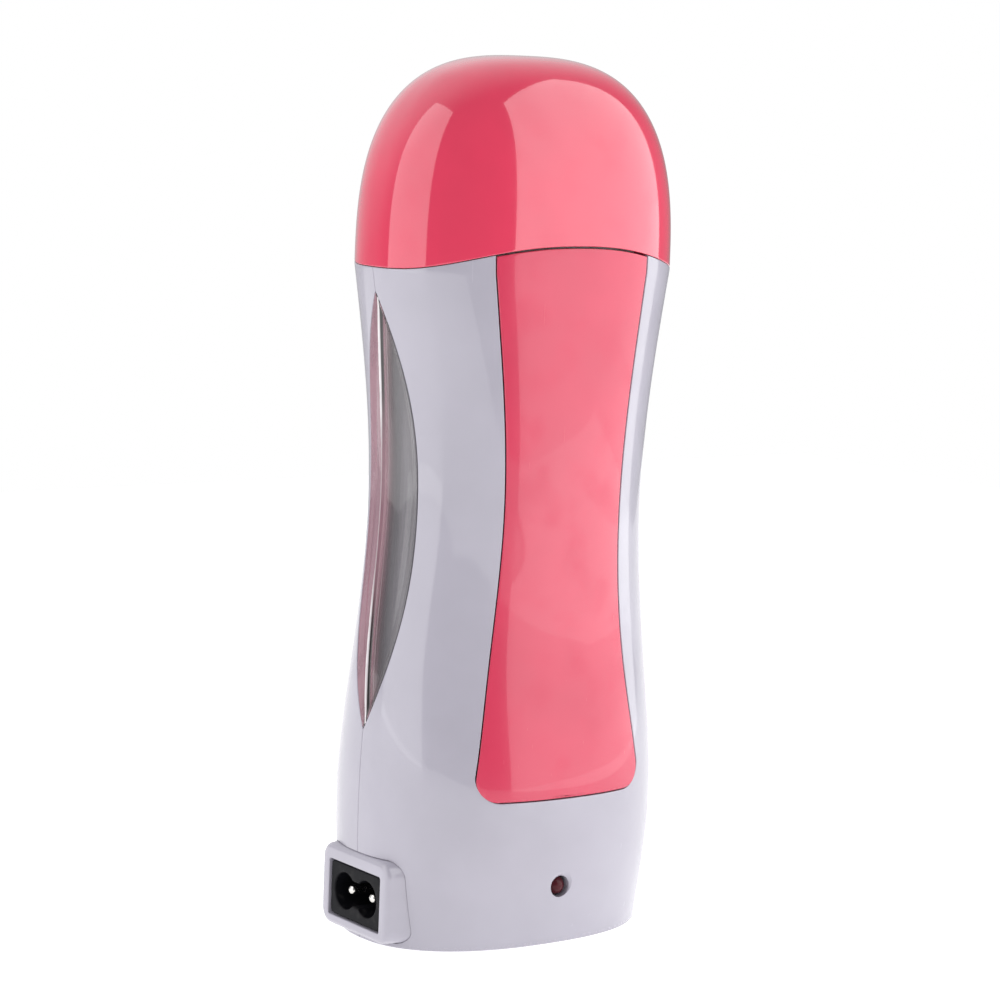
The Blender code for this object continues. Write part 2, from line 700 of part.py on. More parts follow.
def heat_shield():
    """The plate that the well stands on, with a hole for the thermostat and two for wires."""
    turn = np.linspace(0, 2 * math.pi, WELL_SIDES, endpoint=False)
    hole = THERMOSTAT_RADIUS + GAP
    circle = np.column_stack([hole * np.cos(turn), hole * np.sin(turn)])
    rings = [
        tight_ring(SHIELD_LOW_Z, SHIELD_TOP_Z, WALL + GAP, SHIELD_LOW_Z, turn),
        tight_ring(SHIELD_LOW_Z, SHIELD_TOP_Z, WALL + GAP, SHIELD_TOP_Z, turn),
        place_level(SHIELD_TOP_Z, circle),
        place_level(SHIELD_LOW_Z, circle),
    ]
    shield = finish("heat_shield", loft(rings, close_loop=True), plastic("shield mica", MICA, 0.7))
    for side in (-1, 1):
        low = (side * WIRE_HOLE_X, -side * WIRE_HOLE_Y, SHIELD_LOW_Z - PAST)
        high = (side * WIRE_HOLE_X, -side * WIRE_HOLE_Y, SHIELD_TOP_Z + PAST)
        cut(shield, f"wire_hole_{side}", rod(low, high, WIRE_HOLE_RADIUS, SMALL_SIDES))
    return shield


heat_shield()


# ---------------------------------------------------------------- heating and control
def heater(name, side):
    """A flat heating plate pressed against one broad face of the well."""
    near = side * (WELL_OUT_DEPTH + GAP)
    far = side * (WELL_OUT_DEPTH + GAP + HEATER_THICK)
    low = (-HEATER_WIDTH / 2, min(near, far), HEATER_LOW_Z)
    high = (HEATER_WIDTH / 2, max(near, far), HEATER_HIGH_Z)
    return finish(name, box(low, high), plastic(f"{name} brown", FILM_BROWN, 0.5))


heater("front_heater", -1)
heater("rear_heater", +1)

thermostat_profile = [
    (0.0, THERMOSTAT_RADIUS * 0.8),
    (THERMOSTAT_HEIGHT * 0.35, THERMOSTAT_RADIUS * 0.8),
    (THERMOSTAT_HEIGHT * 0.35, THERMOSTAT_RADIUS),
    (THERMOSTAT_HEIGHT, THERMOSTAT_RADIUS),
]
thermostat_base = (0, 0, SHIELD_TOP_Z - THERMOSTAT_HEIGHT)
turned("thermostat", thermostat_profile, thermostat_base, UPRIGHT, plastic("thermostat black", BAKELITE, 0.5))

FUSE_Y = WELL_OUT_DEPTH + GAP + FUSE_RADIUS
fuse_profile = [
    (0.0, FUSE_RADIUS * 0.5),
    (FUSE_RADIUS * 0.6, FUSE_RADIUS),
    (FUSE_LENGTH - FUSE_RADIUS * 0.6, FUSE_RADIUS),
    (FUSE_LENGTH, FUSE_RADIUS * 0.5),
]
fuse_silver = plastic("fuse silver", STEEL, 0.4, 1.0)
turned("thermal_fuse", fuse_profile, (-FUSE_LENGTH / 2, FUSE_Y, FUSE_Z), ALONG_X, fuse_silver, SMALL_SIDES)

# ---------------------------------------------------------------- board and lamp
BOARD_REAR_Y = BOARD_FRONT_Y + BOARD_THICK
board_low = (-BOARD_WIDTH / 2, BOARD_FRONT_Y, BOARD_LOW_Z)
board_high = (BOARD_WIDTH / 2, BOARD_REAR_Y, BOARD_HIGH_Z)
finish("circuit_board", box(board_low, board_high), plastic("board green", BOARD_GREEN, 0.5))

lamp_front_y = float(depth_at(0.0, LAMP_Z)) - LAMP_SETBACK
lamp_length = lamp_front_y + BOARD_FRONT_Y - GAP
lamp_profile = [
    (0.0, LAMP_FLANGE_RADIUS),
    (1.0 * MM, LAMP_FLANGE_RADIUS),
    (1.0 * MM, LAMP_RADIUS),
    (lamp_length - LAMP_RADIUS, LAMP_RADIUS),
    (lamp_length - LAMP_RADIUS * 0.3, LAMP_RADIUS * 0.75),
    (lamp_length, LAMP_RADIUS * 0.1),
]
lamp_foot = (0, BOARD_FRONT_Y - GAP, LAMP_Z)
turned("pilot_lamp", lamp_profile, lamp_foot, AGAINST_Y, plastic("lamp red", LAMP_RED, 0.15))

COMPONENT_Y = BOARD_REAR_Y + GAP


def component(name, radius, length, z, colour):
    """A small part with leads, lying across the back of the board."""
    profile = [
        (0.0, radius * 0.6),
        (radius * 0.5, radius),
        (length - radius * 0.5, radius),
        (length, radius * 0.6),
    ]
    end = (-length / 2, COMPONENT_Y + radius, z)
    return turned(name, profile, end, ALONG_X, plastic(f"{name} body", colour, 0.45), SMALL_SIDES)


component("lamp_resistor", RESISTOR_RADIUS, RESISTOR_LENGTH, RESISTOR_Z, RESISTOR_TAN)
component("lamp_diode", DIODE_RADIUS, DIODE_LENGTH, DIODE_Z, BLACK)


# ---------------------------------------------------------------- mains inlet
def inlet_collar():
    """A rounded frame clamped between the shells, with a square hole for the socket."""
    hole = rounded_rectangle(SOCKET_HALF_WIDTH + GAP, SOCKET_HALF_HEIGHT + GAP, SOCKET_HOLE_CORNER)
    rings = [collar_ring(COLLAR_ROOT_X), collar_ring(COLLAR_FACE_X + COLLAR_EDGE)]
    for step in (30, 60, 90):
        drawn_in = COLLAR_EDGE * (1 - math.cos(math.radians(step)))
        forward = COLLAR_EDGE * math.sin(math.radians(step))
        ring = collar_ring(COLLAR_FACE_X + COLLAR_EDGE, -drawn_in)
        ring[:, 0] = COLLAR_FACE_X + COLLAR_EDGE - forward
        rings.append(ring)
    rings.append(place_on_side(COLLAR_FACE_X, hole, SOCKET_Z))
    rings.append(place_on_side(COLLAR_ROOT_X, hole, SOCKET_Z))
    return finish("inlet_collar", loft(rings, close_loop=True), plastic("collar white", WHITE, 0.28))


SOCKET_FACE_X = COLLAR_FACE_X + SOCKET_SETBACK
SOCKET_BACK_X = SOCKET_FACE_X + SOCKET_DEPTH


def inlet_socket():
    """The black block of a two-pin inlet, with its figure-of-eight recess and pin holes."""
    low = (SOCKET_FACE_X, -SOCKET_HALF_WIDTH, SOCKET_Z - SOCKET_HALF_HEIGHT)
    high = (SOCKET_BACK_X, SOCKET_HALF_WIDTH, SOCKET_Z + SOCKET_HALF_HEIGHT)
    socket = finish("inlet_socket", box(low, high), plastic("socket black", BLACK, 0.35))
    front = SOCKET_FACE_X - PAST
    bottom = SOCKET_FACE_X + RECESS_DEPTH
    waist_low = (front, -PIN_PITCH / 2, SOCKET_Z - RECESS_WAIST_HALF)
    waist_high = (bottom, PIN_PITCH / 2, SOCKET_Z + RECESS_WAIST_HALF)
    cut(socket, "recess_waist", box(waist_low, waist_high))
    for side in (-1, 1):
        y = side * PIN_PITCH / 2
        lobe = rod((front, y, SOCKET_Z), (bottom, y, SOCKET_Z), RECESS_LOBE_RADIUS)
        cut(socket, f"recess_lobe_{side}", lobe)
        start, end = (bottom - PAST, y, SOCKET_Z), (SOCKET_BACK_X + PAST, y, SOCKET_Z)
        hole = rod(start, end, PIN_RADIUS + GAP, SMALL_SIDES)
        cut(socket, f"pin_hole_{side}", hole)
    return socket


def inlet_pin(name, side):
    tip = SOCKET_FACE_X + PIN_SETBACK
    length = SOCKET_BACK_X + PIN_TAIL - tip
    profile = [(0.0, PIN_RADIUS * 0.6), (PIN_RADIUS * 0.6, PIN_RADIUS), (length, PIN_RADIUS)]
    nickel = plastic(f"{name} nickel", STEEL, 0.25, 1.0)
    return turned(name, profile, (tip, side * PIN_PITCH / 2, SOCKET_Z), ALONG_X, nickel, SMALL_SIDES)


inlet_collar()
inlet_socket()
inlet_pin("front_inlet_pin", -1)
inlet_pin("rear_inlet_pin", +1)

# ---------------------------------------------------------------- case screws
head_base = SCREW_SEAT_Y + GAP
screw_profile = [
    (0.0, SCREW_RADIUS * 0.5),
    (SCREW_RADIUS, SCREW_RADIUS),
    (SCREW_LENGTH, SCREW_RADIUS),
    (SCREW_LENGTH, SCREW_HEAD_RADIUS),
    (SCREW_LENGTH + SCREW_HEAD_HEIGHT * 0.6, SCREW_HEAD_RADIUS),
    (SCREW_LENGTH + SCREW_HEAD_HEIGHT, SCREW_HEAD_RADIUS * 0.7),
]
for number, (x, z) in enumerate(SCREW_PLACES, start=1):
    tip = (x, head_base - SCREW_LENGTH, z)
    steel = plastic(f"screw steel {number}", STEEL, 0.35, 1.0)
    turned(f"case_screw_{number}", screw_profile, tip, ALONG_Y, steel, SMALL_SIDES)


# ---------------------------------------------------------------- wires
def smooth_route(points, per_span=4):
    """A Catmull-Rom curve through the route's points."""
    points = [Vector(point) for point in points]
    padded = [2 * points[0] - points[1]] + points + [2 * points[-1] - points[-2]]
    curve = []
    for before, start, end, after in zip(padded, padded[1:], padded[2:], padded[3:]):
        for step in range(per_span):
            t = step / per_span
            curve.append(0.5 * (2 * start + (end - before) * t
                                + (2 * before - 5 * start + 4 * end - after) * t ** 2
                                + (3 * start - before - 3 * end + after) * t ** 3))
    return curve + [points[-1]]


def wire(name, points, colour):
    curve = bpy.data.curves.new(name, "CURVE")
    curve.dimensions = "3D"
    curve.bevel_depth = WIRE_RADIUS
    curve.bevel_resolution = 1
    curve.use_fill_caps = True
    spline = curve.splines.new("POLY")
    route = smooth_route(points)
    spline.points.add(len(route) - 1)
    for place, point in zip(spline.points, route):
        place.co = (*point, 1.0)
    thing = bpy.data.objects.new(name, curve)
    curve.materials.append(plastic(f"{name} sleeve", colour, 0.5))
    PARTS.objects.link(thing)
    return thing


pin_end_x = SOCKET_BACK_X + PIN_TAIL + WIRE_RADIUS + GAP
pin_y = PIN_PITCH / 2
tab_x = THERMOSTAT_RADIUS * 0.6
tab_z = SHIELD_TOP_Z - THERMOSTAT_HEIGHT - GAP - WIRE_RADIUS
heater_y = WELL_OUT_DEPTH + GAP + HEATER_THICK / 2
heater_end_x = HEATER_WIDTH / 2 - 3 * WIRE_RADIUS
heater_end_z = HEATER_LOW_Z - GAP
fuse_end_x = FUSE_LENGTH / 2 + 2 * GAP
above_shield = SHIELD_TOP_Z + 4 * WIRE_RADIUS

wire("live_wire", [
    (pin_end_x, -pin_y, SOCKET_Z),
    (pin_end_x + WIRE_RADIUS, -pin_y, SOCKET_Z + 8 * MM),
    (-12 * MM, -pin_y, 28 * MM),
    (-8 * MM, -2 * MM, 36 * MM),
    (-tab_x, 0, tab_z),
], LIVE_BROWN)
wire("heater_wire", [
    (tab_x, 0, tab_z),
    (WIRE_HOLE_X, -0.5 * WIRE_HOLE_Y, tab_z - WIRE_RADIUS),
    (WIRE_HOLE_X, -0.95 * WIRE_HOLE_Y, 0.5 * (tab_z + SHIELD_LOW_Z)),
    (WIRE_HOLE_X, -WIRE_HOLE_Y, SHIELD_TOP_Z),
    (WIRE_HOLE_X, -WIRE_HOLE_Y, above_shield),
    (heater_end_x, -heater_y, heater_end_z),
], HEATER_RED)
wire("neutral_wire", [
    (pin_end_x, pin_y, SOCKET_Z),
    (pin_end_x + WIRE_RADIUS, pin_y, SOCKET_Z + 8 * MM),
    (-13 * MM, 0.5 * WIRE_HOLE_Y, 30 * MM),
    (-WIRE_HOLE_X, WIRE_HOLE_Y, SHIELD_LOW_Z - 3 * WIRE_RADIUS),
    (-WIRE_HOLE_X, WIRE_HOLE_Y, above_shield),
    (-fuse_end_x - 2 * WIRE_RADIUS, FUSE_Y, FUSE_Z),
    (-fuse_end_x, FUSE_Y, FUSE_Z),
], NEUTRAL_BLUE)
wire("fuse_wire", [
    (fuse_end_x, FUSE_Y, FUSE_Z),
    (fuse_end_x + 2 * WIRE_RADIUS, FUSE_Y, FUSE_Z),
    (heater_end_x, heater_y, heater_end_z),
], NEUTRAL_BLUE)
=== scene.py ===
# %% [markdown]
# # A roll-on wax heater
#
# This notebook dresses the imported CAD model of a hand-held heater for roll-on wax cartridges. The CAD model
# knows what fits and what moves: the cap lifts off, everything else stays with the body. Here each outer
# piece gets the fine surface and the finish that the real one has.
#
# The CAD solids are faceted, and glossy plastic shows every facet. So each moulded piece is worked out
# again with numpy as a smooth surface, a function of two parameters sampled on a grid. It is given a real
# wall thickness and small rounded lips, because it is the lips that make a seam between two mouldings look
# real.

import math

import bmesh
import bpy
import numpy as np
from mathutils import Matrix, Vector


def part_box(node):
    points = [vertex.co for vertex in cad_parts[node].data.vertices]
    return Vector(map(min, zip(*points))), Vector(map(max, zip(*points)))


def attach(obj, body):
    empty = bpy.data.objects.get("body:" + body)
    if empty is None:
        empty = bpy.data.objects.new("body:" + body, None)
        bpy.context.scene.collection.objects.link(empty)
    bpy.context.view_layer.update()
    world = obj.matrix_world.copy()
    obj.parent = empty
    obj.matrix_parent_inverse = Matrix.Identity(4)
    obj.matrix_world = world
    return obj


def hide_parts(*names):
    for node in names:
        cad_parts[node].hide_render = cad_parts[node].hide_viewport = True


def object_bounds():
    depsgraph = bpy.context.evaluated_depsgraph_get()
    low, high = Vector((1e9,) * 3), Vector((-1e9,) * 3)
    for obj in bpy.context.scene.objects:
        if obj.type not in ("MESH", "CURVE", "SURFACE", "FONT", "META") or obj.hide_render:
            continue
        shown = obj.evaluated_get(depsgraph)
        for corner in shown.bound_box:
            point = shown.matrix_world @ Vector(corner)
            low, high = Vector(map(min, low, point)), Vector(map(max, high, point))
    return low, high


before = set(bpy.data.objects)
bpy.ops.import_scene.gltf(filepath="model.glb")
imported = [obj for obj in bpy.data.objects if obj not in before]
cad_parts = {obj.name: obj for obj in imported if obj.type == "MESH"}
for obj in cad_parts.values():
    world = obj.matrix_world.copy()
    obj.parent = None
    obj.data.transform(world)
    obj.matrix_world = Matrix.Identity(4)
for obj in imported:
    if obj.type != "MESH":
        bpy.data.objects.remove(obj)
cad_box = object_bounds()
mm = 0.001
tiny = 1e-12  # keeps a division from meeting zero
print("nodes in the frame:", len(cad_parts))

# %% [markdown]
# ## The form of the body
#
# Every cross-section is a superellipse, |x/a|^n + |y/b|^n = 1, which is squarer than an ellipse. Half width
# a and half depth b follow smooth curves through five levels, wide at the hips, narrow at the waist and
# wide again at the shoulder. Above the shoulder both shrink together to close the dome. A natural cubic
# spline is what a thin strip of wood does when it is held at a few points, so it gives the calm curve of a
# grip without flat spots.

# %% Driving sizes of the form
height = float(cad_box[1][2])
shoulder_z = 152.5 * mm
seam_arch = 6.0 * mm
seam_power = 3.5
levels = np.array([0.0, 30.0, 62.0, 100.0, 152.5]) * mm
half_widths = np.array([36.1, 37.5, 35.8, 32.4, 38.5]) * mm
half_depths = np.array([24.5, 29.0, 25.2, 24.4, 25.1]) * mm
section_power = 2.36
dome_power = 2.78
wall = 2.8 * mm
gap = 0.3 * mm
print("height", round(height / mm, 1), "mm")


# %% The natural cubic spline
def natural_spline(knots, values):
    """Between neighbouring knots, a cubic whose second derivative runs straight from knot to knot."""
    gaps = np.diff(knots)
    slopes = np.diff(values) / gaps
    count = len(knots)
    system = np.eye(count)
    right = np.zeros(count)
    for i in range(1, count - 1):
        system[i, i - 1:i + 2] = (gaps[i - 1], 2 * (gaps[i - 1] + gaps[i]), gaps[i])
        right[i] = 6 * (slopes[i] - slopes[i - 1])
    bend = np.linalg.solve(system, right)

    def value(at):
        at = np.asarray(at, dtype=float)
        i = np.clip(np.searchsorted(knots, at) - 1, 0, count - 2)
        ahead, behind, step = knots[i + 1] - at, at - knots[i], gaps[i]
        curve = (bend[i] * ahead ** 3 + bend[i + 1] * behind ** 3) / (6 * step)
        line = (values[i] / step - bend[i] * step / 6) * ahead
        return curve + line + (values[i + 1] / step - bend[i + 1] * step / 6) * behind

    return value


width_curve = natural_spline(levels, half_widths)
depth_curve = natural_spline(levels, half_depths)
print("waist half width", round(float(width_curve(0.1)) / mm, 2), "mm")


# %% Points on the form
def half_sizes(z, inset=0.0):
    """a and b at height z: the splines less the inset, times (1 - t^m)^(1/m), t from 0 to 1 up the dome."""
    z = np.asarray(z, dtype=float)
    level = np.clip(z, 0.0, shoulder_z)
    rise = np.clip((z - shoulder_z) / (height - inset - shoulder_z), 0.0, 1.0)
    dome = (1 - rise ** dome_power) ** (1 / dome_power)
    return (width_curve(level) - inset) * dome, (depth_curve(level) - inset) * dome


def signed_power(value, power):
    """|value|^power with the sign of the value."""
    return np.sign(value) * np.abs(value) ** power


def on_form(turn, z, inset=0.0):
    """x = a cos^(2/n), y = b sin^(2/n) with their signs kept, at the parameter angle turn and height z."""
    half_width, half_depth = half_sizes(z, inset)
    x = half_width * signed_power(np.cos(turn), 2 / section_power)
    y = half_depth * signed_power(np.sin(turn), 2 / section_power)
    return np.stack(np.broadcast_arrays(x, y, z), axis=-1)


def turn_at_y(y, z, side):
    """The parameter angle where the form has this y, on the side of +X or of -X."""
    half_depth = half_sizes(z)[1]
    sine = signed_power(np.clip(y / half_depth, -1, 1), section_power / 2)
    turn = np.arcsin(sine)
    return turn if side > 0 else -math.pi - turn


def turn_at_x(x, z):
    """The parameter angle on the front where the form has this x."""
    half_width = half_sizes(z)[0]
    return -np.arccos(signed_power(np.clip(x / half_width, -1, 1), section_power / 2))


def seam_height(turn):
    """The seam under the cap, which rises by the arch times |y/b|^p, late and gently, at front and back."""
    share = np.abs(np.sin(turn)) ** (2 / section_power)
    return shoulder_z + seam_arch * share ** seam_power


print("seam at the side and at the front",
      [round(float(seam_height(turn)) / mm, 1) for turn in (0.0, -math.pi / 2)], "mm")


# %% [markdown]
# ## From a grid to a moulding
#
# A moulding has an outer skin, an inner skin and, all round its edge, a lip: the outer face turns over a
# small radius and runs down to the inner face. Bevel modifiers can do that, but on a dense curved grid they
# often leave creases, so the lip is worked out here. At each point of the border two directions are known,
# one into the sheet and one out of it. A quarter circle in the plane of these two is the lip. A support row
# just inside it keeps the shading of the big face flat right up to the edge. The lip's radius may change
# along the border, since a shell is rounder where it stands on a table than where it meets its neighbour.

# %% Normals and borders of a grid
def grid_normals(points, towards):
    """Cross product of the two grid directions at every point, turned to the side that 'towards' gives."""
    along = np.gradient(points, axis=0)
    across = np.gradient(points, axis=1)
    normal = np.cross(along, across)
    size = np.linalg.norm(normal, axis=-1, keepdims=True)
    normal = normal / np.maximum(size, tiny)
    return normal * np.sign(np.sum(normal * towards, axis=-1, keepdims=True))


def border_of(rows, columns, wrap):
    """Flat indices round a grid's border: one loop, or for a wrapped grid its first row alone."""
    index = np.arange(rows * columns).reshape(rows, columns)
    if wrap:
        return index[0]
    return np.concatenate([index[0, :], index[1:, -1], index[-1, -2::-1], index[-2:0:-1, 0]])


def into_sheet(border, normal, inner_neighbour, least_spread=0.35):
    """Unit directions along the sheet away from its border, mitred where the border turns."""
    ahead = np.roll(border, -1, axis=0) - border
    ahead = ahead / np.maximum(np.linalg.norm(ahead, axis=1, keepdims=True), tiny)
    behind = np.roll(ahead, 1, axis=0)
    left, right = np.cross(normal, behind), np.cross(normal, ahead)
    mitre = (left + right) / np.maximum(1 + np.sum(left * right, axis=1, keepdims=True), least_spread)
    inward = np.sign(np.sum(mitre * (inner_neighbour - border), axis=1, keepdims=True))
    return mitre * inward


# %% Faces between rows of points
merge_distance, shortest_edge = 2e-7, 1e-8


def strip_faces(first, second, close):
    """Quads between two equal rows of vertex numbers, round to the start again if close is set."""
    if not close:
        return np.column_stack([first[:-1], first[1:], second[1:], second[:-1]])
    return np.column_stack([first, np.roll(first, -1), np.roll(second, -1), second])


def grid_quads(rows, columns, start, wrap):
    index = start + np.arange(rows * columns).reshape(rows, columns)
    return np.concatenate([strip_faces(index[i], index[i + 1], wrap) for i in range(rows - 1)])


def shade(mesh, smooth_angle=40):
    mesh.shade_smooth()
    mesh.set_sharp_from_angle(angle=math.radians(smooth_angle))


def mesh_object(name, points, faces, smooth_angle=40):
    """Put points and faces in a mesh, merge doubled points, face it outwards and shade it smooth."""
    mesh = bpy.data.meshes.new(name)
    mesh.from_pydata(np.asarray(points).reshape(-1, 3).tolist(), [], faces)
    work = bmesh.new()
    work.from_mesh(mesh)
    bmesh.ops.remove_doubles(work, verts=work.verts, dist=merge_distance)
    bmesh.ops.dissolve_degenerate(work, edges=work.edges, dist=shortest_edge)
    bmesh.ops.recalc_face_normals(work, faces=work.faces)
    work.to_mesh(mesh)
    work.free()
    shade(mesh, smooth_angle)
    thing = bpy.data.objects.new("fine_" + name, mesh)
    bpy.context.scene.collection.objects.link(thing)
    return thing


pieces = dict(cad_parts)


def settle(piece, body, slot, *nodes):
    """Tell the frame the piece's body and hide the CAD nodes that it stands for. The slot is not used."""
    pieces[piece.name.removeprefix("fine_")] = piece
    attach(piece, body)
    if nodes:
        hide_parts(*nodes)
    low, high = np.array(piece.bound_box).min(0), np.array(piece.bound_box).max(0)
    print(piece.name, len(piece.data.polygons), "faces,", np.round((high - low) / mm, 1), "mm")


# %% The moulding itself
lip_steps = np.radians([0, 22.5, 45, 67.5, 90])


def inner_ring(rows, columns):
    """For each border point of an open grid, the number of the grid point just inside it."""
    index = np.arange(rows * columns).reshape(rows, columns)
    inside = index[np.clip(np.arange(rows), 1, rows - 2)][:, np.clip(np.arange(columns), 1, columns - 2)]
    return inside.reshape(-1)[border_of(rows, columns, False)]


def moulding(name, outer, inner, lip=0.25 * mm, support=0.3 * mm, wrap=False):
    """Outer grid, quarter-circle lip and inner grid joined into one closed sheet of real thickness."""
    rows, columns = outer.shape[:2]
    outer_flat, inner_flat = outer.reshape(-1, 3).copy(), inner.reshape(-1, 3)
    normals = grid_normals(outer, outer - inner).reshape(-1, 3)
    edge = border_of(rows, columns, wrap)
    step_in = columns + np.arange(columns) if wrap else inner_ring(rows, columns)
    border, normal = outer_flat[edge], normals[edge]
    inward = into_sheet(border, normal, outer_flat[step_in])
    radius = lip(border) if callable(lip) else np.full(len(edge), lip)
    radius = radius[:, None]
    rings = [border + inward * (radius + support)]
    rings += [border + inward * radius * (1 - math.sin(t)) - normal * radius * (1 - math.cos(t))
              for t in lip_steps]
    outer_flat[edge] = rings[0]
    first_inner = rows * columns
    first_ring = first_inner + len(inner_flat)
    numbers = [edge] + [first_ring + k * len(edge) + np.arange(len(edge)) for k in range(len(rings) - 1)]
    numbers.append(first_inner + edge)
    faces = [grid_quads(rows, columns, 0, wrap), grid_quads(rows, columns, first_inner, wrap)]
    faces += [strip_faces(low, high, True) for low, high in zip(numbers, numbers[1:])]
    points = np.concatenate([outer_flat, inner_flat] + rings[1:])
    return mesh_object(name, points, np.concatenate(faces).tolist())


# %% [markdown]
# ## From rings to a solid
#
# Small parts such as pins, screws, a socket and a drawn cup are rings of points, one behind the other.
# Every ring has the same number of points, so neighbours join by quads. An open row of rings ends in a fan
# of triangles to its middle; a closed one, such as a frame with a hole, joins its last ring to its first.

# %% Rings
def ring_solid(name, rings, loop=False, smooth_angle=40):
    """Quads between neighbouring rings, and a fan at each end or the last ring joined to the first."""
    rings = np.asarray(rings)
    count, size = rings.shape[:2]
    index = np.arange(count * size).reshape(count, size)
    quads = np.concatenate([strip_faces(index[i], index[i + 1], True) for i in range(count - 1)])
    faces = quads.tolist()
    points = rings.reshape(-1, 3)
    if loop:
        faces += strip_faces(index[-1], index[0], True).tolist()
    else:
        points = np.concatenate([points, rings[:1].mean(1), rings[-1:].mean(1)])
        for middle, ring in ((count * size, index[0]), (count * size + 1, index[-1])):
            faces += np.column_stack([ring, np.roll(ring, -1), np.full(size, middle)]).tolist()
    return mesh_object(name, points, faces, smooth_angle)


def directions(count):
    return np.linspace(0, 2 * math.pi, count, endpoint=False)


def circle(radius, count=32):
    """x = r cos t and y = r sin t once round."""
    return polar(directions(count) + math.pi / count, radius)


def rounded_rectangle(half_width, half_height, radius, per_corner=10, per_side=8):
    """Four quarter circles joined by straight sides, with as many points whatever the sizes are."""
    quarter = np.linspace(0, math.pi / 2, per_corner)[None, :] + np.arange(4)[:, None] * math.pi / 2
    middle = np.array([[1, 1], [-1, 1], [-1, -1], [1, -1]]) * (half_width - radius, half_height - radius)
    arcs = middle[:, None, :] + radius * np.stack([np.cos(quarter), np.sin(quarter)], axis=-1)
    share = np.linspace(0, 1, per_side + 2)[1:-1][None, :, None]
    sides = arcs[:, -1:] + (np.roll(arcs, -1, axis=0)[:, :1] - arcs[:, -1:]) * share
    return np.concatenate([arcs, sides], axis=1).reshape(-1, 2)


def facing_side(x, outline, y=0.0, z=0.0):
    """Stand an outline in the plane at x, across and up from the point (y, z)."""
    return np.column_stack([np.full(len(outline), x), outline[:, 0] + y, outline[:, 1] + z])


def facing_front(y, outline, x=0.0, z=0.0):
    return np.column_stack([outline[:, 0] + x, np.full(len(outline), y), outline[:, 1] + z])


def facing_up(z, outline):
    return np.column_stack([outline[:, 0], outline[:, 1], np.full(len(outline), z)])


def along_axis(name, steps, facing, *middle, loop=False):
    """A solid through outlines: each step is a place on the axis and the outline that stands there."""
    return ring_solid(name, [facing(place, outline, *middle) for place, outline in steps], loop)


def polar(turn, radius):
    """x = r cos t and y = r sin t, where r may change from point to point."""
    return np.column_stack([radius * np.cos(turn), radius * np.sin(turn)])


# %% Cutting
def carve(piece, *cutters):
    """Take each cutter away from the piece, keep the result in the piece's own mesh and drop the cutters."""
    for cutter in cutters:
        bite = piece.modifiers.new(cutter.name, "BOOLEAN")
        bite.operation = "DIFFERENCE"
        bite.solver = "EXACT"
        bite.object = cutter
    bpy.context.view_layer.update()
    seen = piece.evaluated_get(bpy.context.evaluated_depsgraph_get())
    carved = bpy.data.meshes.new_from_object(seen)
    piece.modifiers.clear()
    piece.data = carved
    shade(carved)
    for cutter in cutters:
        bpy.data.objects.remove(cutter)


# %% [markdown]
# ## The cap
#
# The cap is one glossy pink dome. Its lower edge follows the arched seam, so the rows of its grid start on
# that curve and close up at the crown. Spacing the rows by the sine of a quarter turn puts them close
# together at the top, where the form turns fastest.

# %% Cap
cap_wall = 2.4 * mm
cap_lip = 0.2 * mm
seam_gap = 0.4 * mm
fine_seam = 0.16 * mm


def dome_grid(inset, rows=90, columns=240):
    """Height runs from the seam to the crown by the sine of a quarter turn, angle runs once round."""
    turn = directions(columns)[None, :]
    rise = np.sin(np.linspace(0, math.pi / 2, rows))[:, None]
    low = seam_height(turn) + fine_seam / 2
    return on_form(turn, low + (height - inset - low) * rise, inset)


settle(moulding("cap", dome_grid(0.0), dome_grid(cap_wall), cap_lip, wrap=True), "lid", "cap_pink", "cap")

# %% [markdown]
# ## The windows
#
# Each side has a pointed, lens-shaped window along the joint of the two shells, so that the level of the
# wax can be seen. Its half width falls off as a power of the distance from the middle, which gives a full
# belly and two sharp points. The pane is dished on both sides of a slim rib that runs from point to point.
# The rib stiffens the real pane. The thin bright line down the window is a painted highlight on the rib's
# crest, with painted shadow at its foot, in the pane's colour.

# %% Window outline
window_z = 97.8 * mm
window_reach = 49.2 * mm
window_half = 9.4 * mm
window_power = 2.8
pane_thick = 2.2 * mm
rib_bow = 4.2 * mm
rib_start = -1.0 * mm
rib_width = 0.45 * mm
pane_dish = 0.9 * mm
dish_edge = 2 * mm
tip_share = 0.992


def window_edge(z, grow=0.0):
    """Half width of the window: its middle value times 1 - |distance / reach|^p, and 0 past the points."""
    share = np.clip(np.abs(z - window_z) / (window_reach + grow), 0, 1)
    return (window_half + grow) * (1 - share ** window_power)


def rib_line(z):
    """Where the rib stands from front to back: a low bow behind the joint, back to it at both points."""
    share = np.clip(np.abs(z - window_z) / window_reach, 0, 1)
    return rib_start + rib_bow * (1 - share ** window_power)


def pane_inset(y, z):
    """Full between edge and rib, fading to nothing at both by a smooth step and a bell curve."""
    inside = np.clip((window_edge(z) - np.abs(y)) / dish_edge, 0, 1)
    rib = np.exp(-((y - rib_line(z)) / rib_width) ** 2)
    return pane_dish * inside ** 2 * (3 - 2 * inside) * (1 - rib)


# %% Both windows
def window(name, side):
    """Rows from point to point, crowded there by a sine, and each row even from edge to edge."""
    z = window_z + window_reach * tip_share * np.sin(np.linspace(-math.pi / 2, math.pi / 2, 110))
    across = np.linspace(-1, 1, 91)
    y = window_edge(z)[:, None] * across[None, :]
    z = np.repeat(z[:, None], len(across), axis=1)
    turn = turn_at_y(y, z, side)
    outer, inner = on_form(turn, z, pane_inset(y, z)), on_form(turn, z, pane_thick)
    settle(moulding(name, outer, inner, lip=0.15 * mm, support=0.05 * mm), "heater", "window_smoke", name)


window("left_window", -1)
window("right_window", 1)

